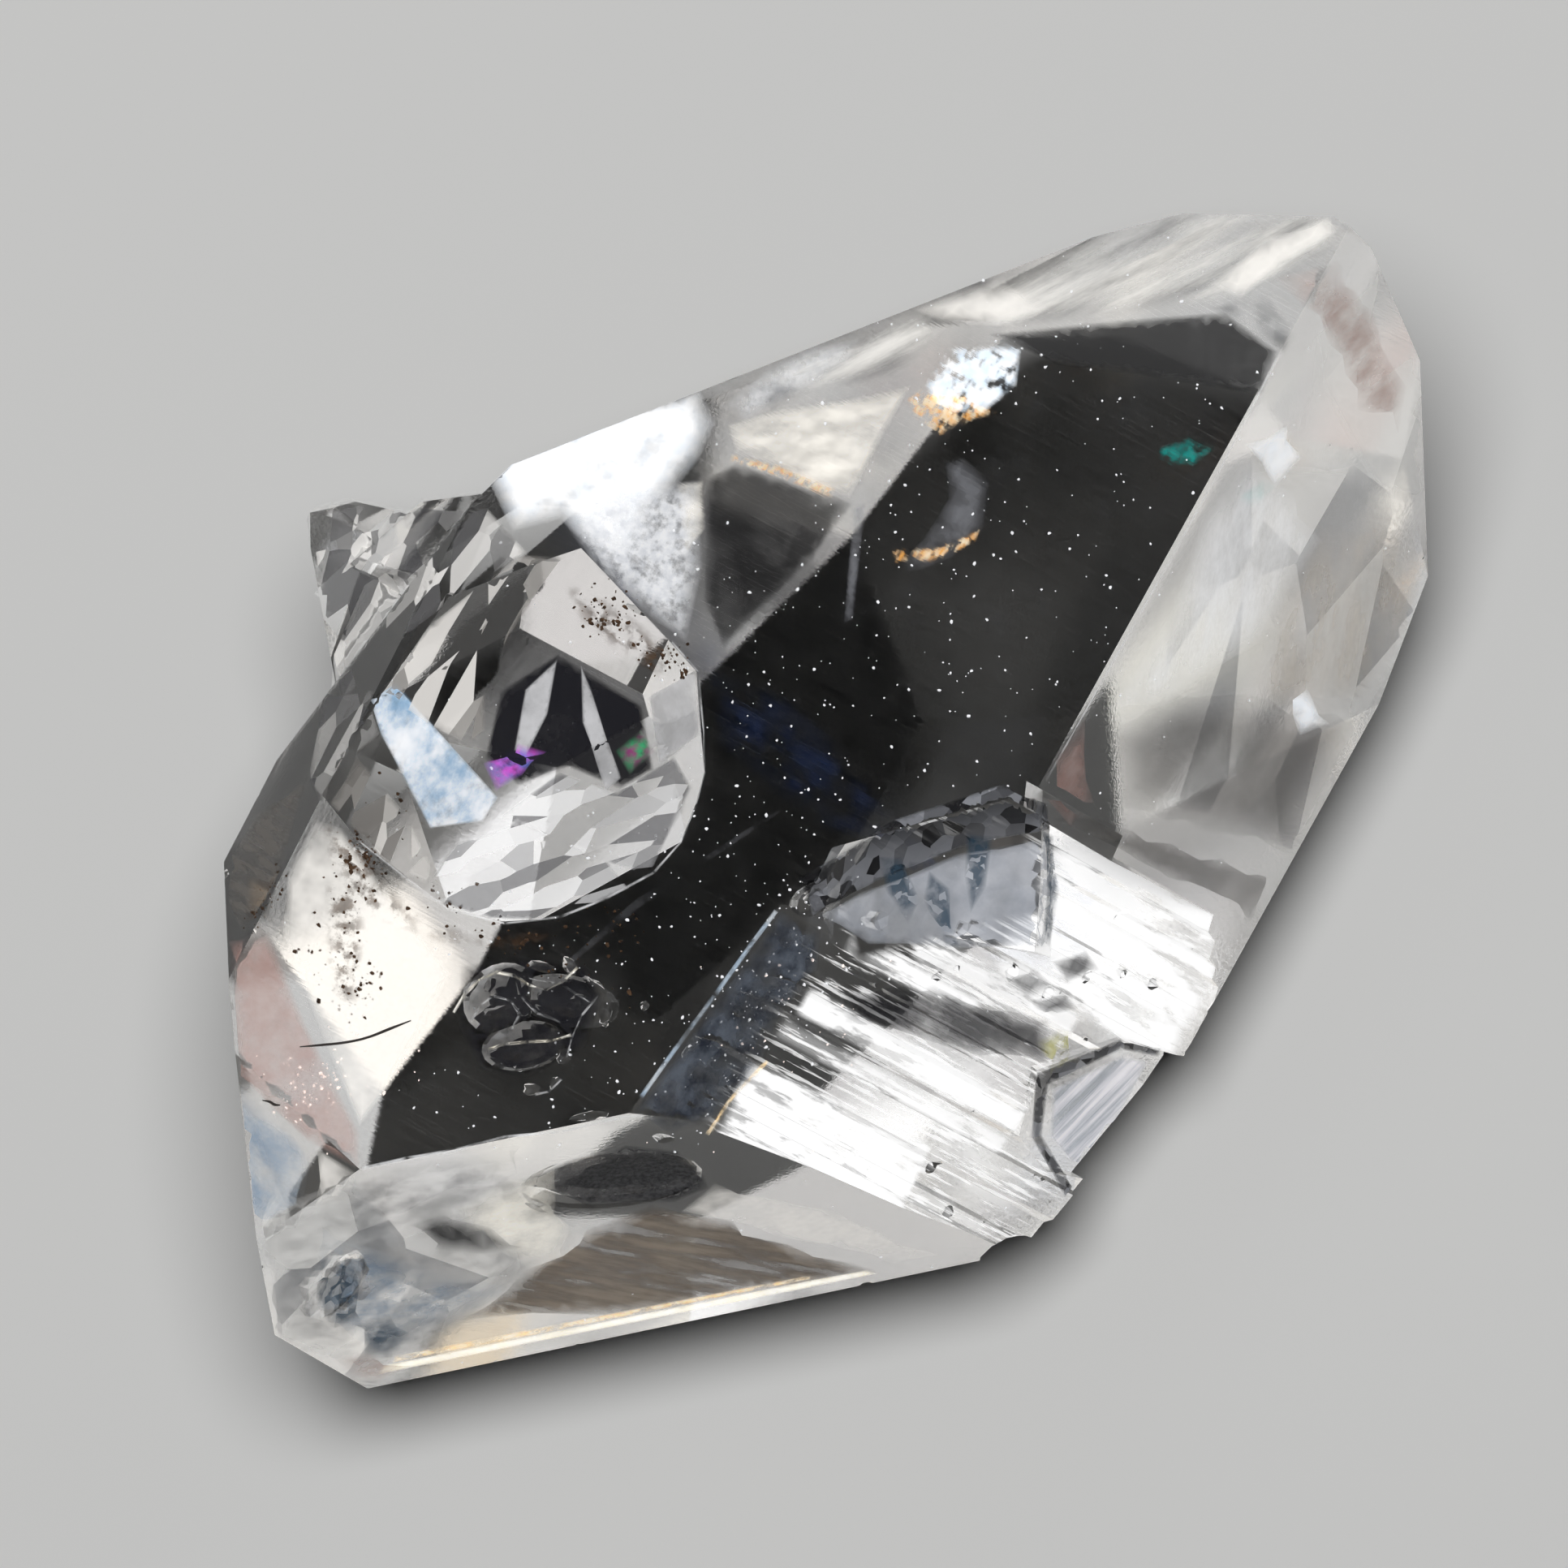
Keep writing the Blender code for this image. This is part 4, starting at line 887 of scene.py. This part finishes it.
def dropSpecks(name, material):
    look = specks[name]
    chance = random.Random(look["seed"])
    shape = bmesh.new()
    weights = [spot[2] for spot in look["spots"]]
    least, most = look["size"]
    for count in range(look["count"]):
        centre, spread, weight = chance.choices(look["spots"], weights)[0]
        x, y = chance.gauss(centre[0], spread[0]), chance.gauss(centre[1], spread[1])
        size = least + (most - least) * chance.random() ** speckForm["fewLarge"]
        spot = surfaceUnder(gemTree, x, y)[0]
        if spot is None:
            continue
        radii = (size * chance.uniform(*speckForm["long"]), size, size * speckForm["flat"])
        addRock(shape, spot, radii, chance.uniform(0, anyTurn), count, rough=speckForm["rough"])
    onCrystal(objectFrom(name, shape, material))


def clayBrown():
    material, tree, surface = newMaterial("clayBrown", {
        "Base Color": (0.16, 0.085, 0.04, 1), "Roughness": 0.95})
    blotches = clouds(tree, scale=9.0, low=0.3, high=0.7)
    mix = blend(tree, blotches, (0.018, 0.010, 0.006, 1), (0.12, 0.065, 0.035, 1))
    tree.links.new(mix, surface.inputs["Base Color"])
    return material


dropSpecks("dust", newMaterial("dustWhiteGlow", {
    "Base Color": (0.9, 0.91, 0.93, 1), "Roughness": 0.8, "Emission Color": (0.9, 0.92, 0.95, 1),
    "Emission Strength": 0.35})[0])
dropSpecks("claySpecks", clayBrown())
# the sparkle specks glow: painted glints
dropSpecks("sparkle", newMaterial("sparkleRose", {
    "Base Color": (1.0, 0.86, 0.80, 1), "Roughness": 0.3, "Emission Color": (1.0, 0.85, 0.78, 1),
    "Emission Strength": 0.5})[0])


# lint: two bits of dark fibre lying on the lower left face
lintLook = {
    "thick": 0.045,  # mm
    "rise": 0.6,  # share of its thickness between the face and the middle of the fibre
    "swell": (0.75, 0.35),  # its radius along the way, the mean and how far it varies
    "ends": (0.3, 0.35),  # its radius at either end
    "bits": [[(-3.52, -6.19), (-3.28, -6.03), (-3.0, -5.83), (-2.81, -5.66), (-2.6, -5.41), (-2.41, -5.18)],
             [(-3.61, -7.05), (-3.52, -7.02), (-3.44, -7.02), (-3.38, -6.99)]],
}


def layFibre(name, points, material):
    curve = bpy.data.curves.new(name, "CURVE")
    curve.dimensions = "3D"
    curve.bevel_depth = lintLook["thick"] / 2 * mm
    curve.bevel_resolution = 3
    spline = curve.splines.new("BEZIER")
    spline.bezier_points.add(len(points) - 1)
    mean, change = lintLook["swell"]
    for knot, (x, y) in zip(spline.bezier_points, points):
        spot = surfaceUnder(gemTree, x, y)[0]
        knot.co = (spot + Vector((0, 0, lintLook["thick"] * lintLook["rise"]))) * snug
        knot.handle_left_type = knot.handle_right_type = "AUTO"
        knot.radius = mean + change * noise.noise(Vector((x * 3, y * 3, 1)))
    spline.bezier_points[0].radius, spline.bezier_points[-1].radius = lintLook["ends"]
    piece = bpy.data.objects.new(name, curve)
    scene.collection.objects.link(piece)
    curve.materials.append(material)
    onCrystal(piece)


lintDark = newMaterial("lintDark", {"Base Color": (0.035, 0.03, 0.028, 1), "Roughness": 0.8})[0]
for count, points in enumerate(lintLook["bits"], 1):
    layFibre("lint" + str(count), points, lintDark)
print("dirt ready")

# studio: a pale floor, a lamp for what is dull, a grey room with soft boxes for what is clear
studio = {
    "floorColour": (0.80, 0.80, 0.79, 1),
    "floorRadius": 900,  # mm
    "floorDrop": 0.03,  # mm
    "lampSpot": (-0.05, 0.05, 0.35),  # m
    "lampSize": 0.17,  # m
    "lampPower": 0.92,  # W
    "roomGrey": (0.52, 0.51, 0.49, 1),
    "seenGrey": (0.62, 0.62, 0.61, 1),  # the room as the camera sees it beside the floor
    "roomStrength": 1.25,
    "zenithGrey": (0.012, 0.012, 0.014, 1),
    "zenithFrom": 0.9945,
    "zenithFull": 0.9985,
    "mottle": 0.45,
    "mottleScale": 11.0,
    "boxRim": (1.3, 0.5),  # shares of its spread at which a soft box begins and is full
    # round and up in degrees, spread in degrees, colour
    "softBoxes": [
        (-22, 41, 11, (0.03, 0.03, 0.032)), (20, 46, 8, (0.46, 0.45, 0.44)),
        (12, 42, 4, (0.07, 0.07, 0.07)), (-53, 43, 9, (0.24, 0.235, 0.23)),
        (52, 25, 10, (1.15, 1.08, 0.98)), (-101, 17, 6, (0.55, 0.53, 0.49)),
        (-93, 29, 6, (0.09, 0.09, 0.1)), (34, 84, 5, (1, 1, 1)), (-111, 46, 9, (0.66, 0.645, 0.58)),
        (-60, 22, 6, (0.4, 0.4, 0.42)), (-10, 11, 5, (0.09, 0.09, 0.1)), (-15, 19, 5, (0.6, 0.6, 0.61)),
        (-27, 55, 7, (0.62, 0.6, 0.59)), (-53, 27, 7, (0.52, 0.42, 0.385)),
        (-22, 65, 7, (0.56, 0.55, 0.55)), (64, 56, 9, (0.95, 0.95, 0.95)), (-57, 60, 6, (1.35, 1.35, 1.35)),
        (-64, 52, 5, (1, 0.94, 0.84)), (7, 34, 5, (0.28, 0.265, 0.25)), (-4, 31, 5, (0.95, 0.95, 0.96)),
        (-138, 24, 9, (0.44, 0.42, 0.4)), (-95, 75, 8, (1, 1.02, 1.07)), (-106, 55, 6, (0.22, 0.22, 0.22)),
        (168, 16, 9, (0.66, 0.67, 0.69)), (84, 14, 9, (0.5, 0.48, 0.46)),
        (-163, 39, 10, (1.05, 1.05, 1.03)), (110, 37, 8, (0.62, 0.52, 0.38)),
        (95, 37, 6, (0.95, 0.9, 0.79)), (123, 24, 6, (0.5, 0.51, 0.55)), (137, 23, 6, (0.2, 0.205, 0.22)),
        (12, 68, 8, (1.3, 1.29, 1.27)), (43, 48, 7, (0.34, 0.31, 0.29)), (-76, 66, 6, (0.3, 0.29, 0.29)),
    ],
}


def makeFloor():
    shape = bmesh.new()
    bmesh.ops.create_circle(shape, cap_ends=True, segments=96, radius=studio["floorRadius"])
    material = newMaterial("paleFloor", {
        "Base Color": studio["floorColour"], "Roughness": 0.9, "Specular IOR Level": 0.1})[0]
    floor = objectFrom("floor", shape, material)
    floor.location.z = -studio["floorDrop"] * mm


def makeRoom():
    room = bpy.data.worlds.new("room")
    scene.world = room
    room.use_nodes = True
    tree = room.node_tree
    tree.nodes.clear()
    out = nodeIn(tree, "ShaderNodeOutputWorld")
    where = nodeIn(tree, "ShaderNodeTexCoord").outputs["Generated"]

    def spread(direction, edge, full, paint, below):
        reach = nodeIn(tree, "ShaderNodeVectorMath", {0: where, 1: direction}, operation="DOT_PRODUCT")
        return blend(tree, remap(tree, reach.outputs["Value"], edge, full), below, paint)

    soFar = studio["roomGrey"]
    for around, up, wide, paint in studio["softBoxes"]:
        edge, full = [math.cos(math.radians(wide * share)) for share in studio["boxRim"]]
        soFar = spread(facing(around, 90 - up), edge, full, (*paint, 1), soFar)
    cloud = nodeIn(tree, "ShaderNodeTexNoise", {"Vector": where, "Scale": studio["mottleScale"],
                   "Detail": 5.0})
    dim = remap(tree, cloud.outputs["Fac"], 0.3, 0.7, 1 - studio["mottle"], 1 + studio["mottle"])
    shade = nodeIn(tree, "ShaderNodeVectorMath", {0: soFar, "Scale": dim}, operation="SCALE")
    soFar = spread((0, 0, 1), studio["zenithFrom"], studio["zenithFull"], studio["zenithGrey"],
                   shade.outputs["Vector"])
    seen = nodeIn(tree, "ShaderNodeLightPath").outputs["Is Camera Ray"]
    light = nodeIn(tree, "ShaderNodeBackground", {"Color": blend(tree, seen, soFar, studio["seenGrey"]),
                   "Strength": studio["roomStrength"]})
    tree.links.new(light.outputs[0], out.inputs[0])
    room.cycles_visibility.diffuse = False


def makeLamp(name):
    lamp = bpy.data.lights.new(name, "AREA")
    lamp.shape = "DISK"
    lamp.size = studio["lampSize"]
    lamp.energy = studio["lampPower"]
    holder = bpy.data.objects.new(name, lamp)
    holder.location = studio["lampSpot"]
    holder.rotation_euler = (-holder.location).to_track_quat("-Z", "Y").to_euler()
    holder.visible_camera = False
    holder.visible_glossy = False
    holder.visible_transmission = False
    scene.collection.objects.link(holder)


# view: straight down on the front face from far away, with the crystal leaning to the right
view = {
    "lens": 400,
    "sensor": 36,
    "width": 20.585,  # mm across the picture at the front face
    "centre": (0.373, -0.08),  # mm
    "turn": 29,  # degrees
    "clip": (0.001, 5),  # m
    "bounces": {"max_bounces": 18, "transmission_bounces": 18, "glossy_bounces": 12,
                "transparent_max_bounces": 12},
}


def makeCamera():
    camera = bpy.data.cameras.new("camera")
    camera.lens = view["lens"]
    camera.sensor_width = view["sensor"]
    camera.clip_start, camera.clip_end = view["clip"]
    holder = bpy.data.objects.new("camera", camera)
    scene.collection.objects.link(holder)
    scene.camera = holder
    away = view["width"] * view["lens"] / view["sensor"]
    holder.location = Vector((*view["centre"], frontZ + away)) * mm
    holder.rotation_euler = (0, 0, math.radians(view["turn"]))


makeFloor()
makeRoom()
makeLamp("overheadLamp")
makeCamera()
scene.cycles.caustics_refractive = False
scene.cycles.caustics_reflective = False
for name, value in view["bounces"].items():
    setattr(scene.cycles, name, value)
scene.view_settings.view_transform = "Standard"
print("studio ready")
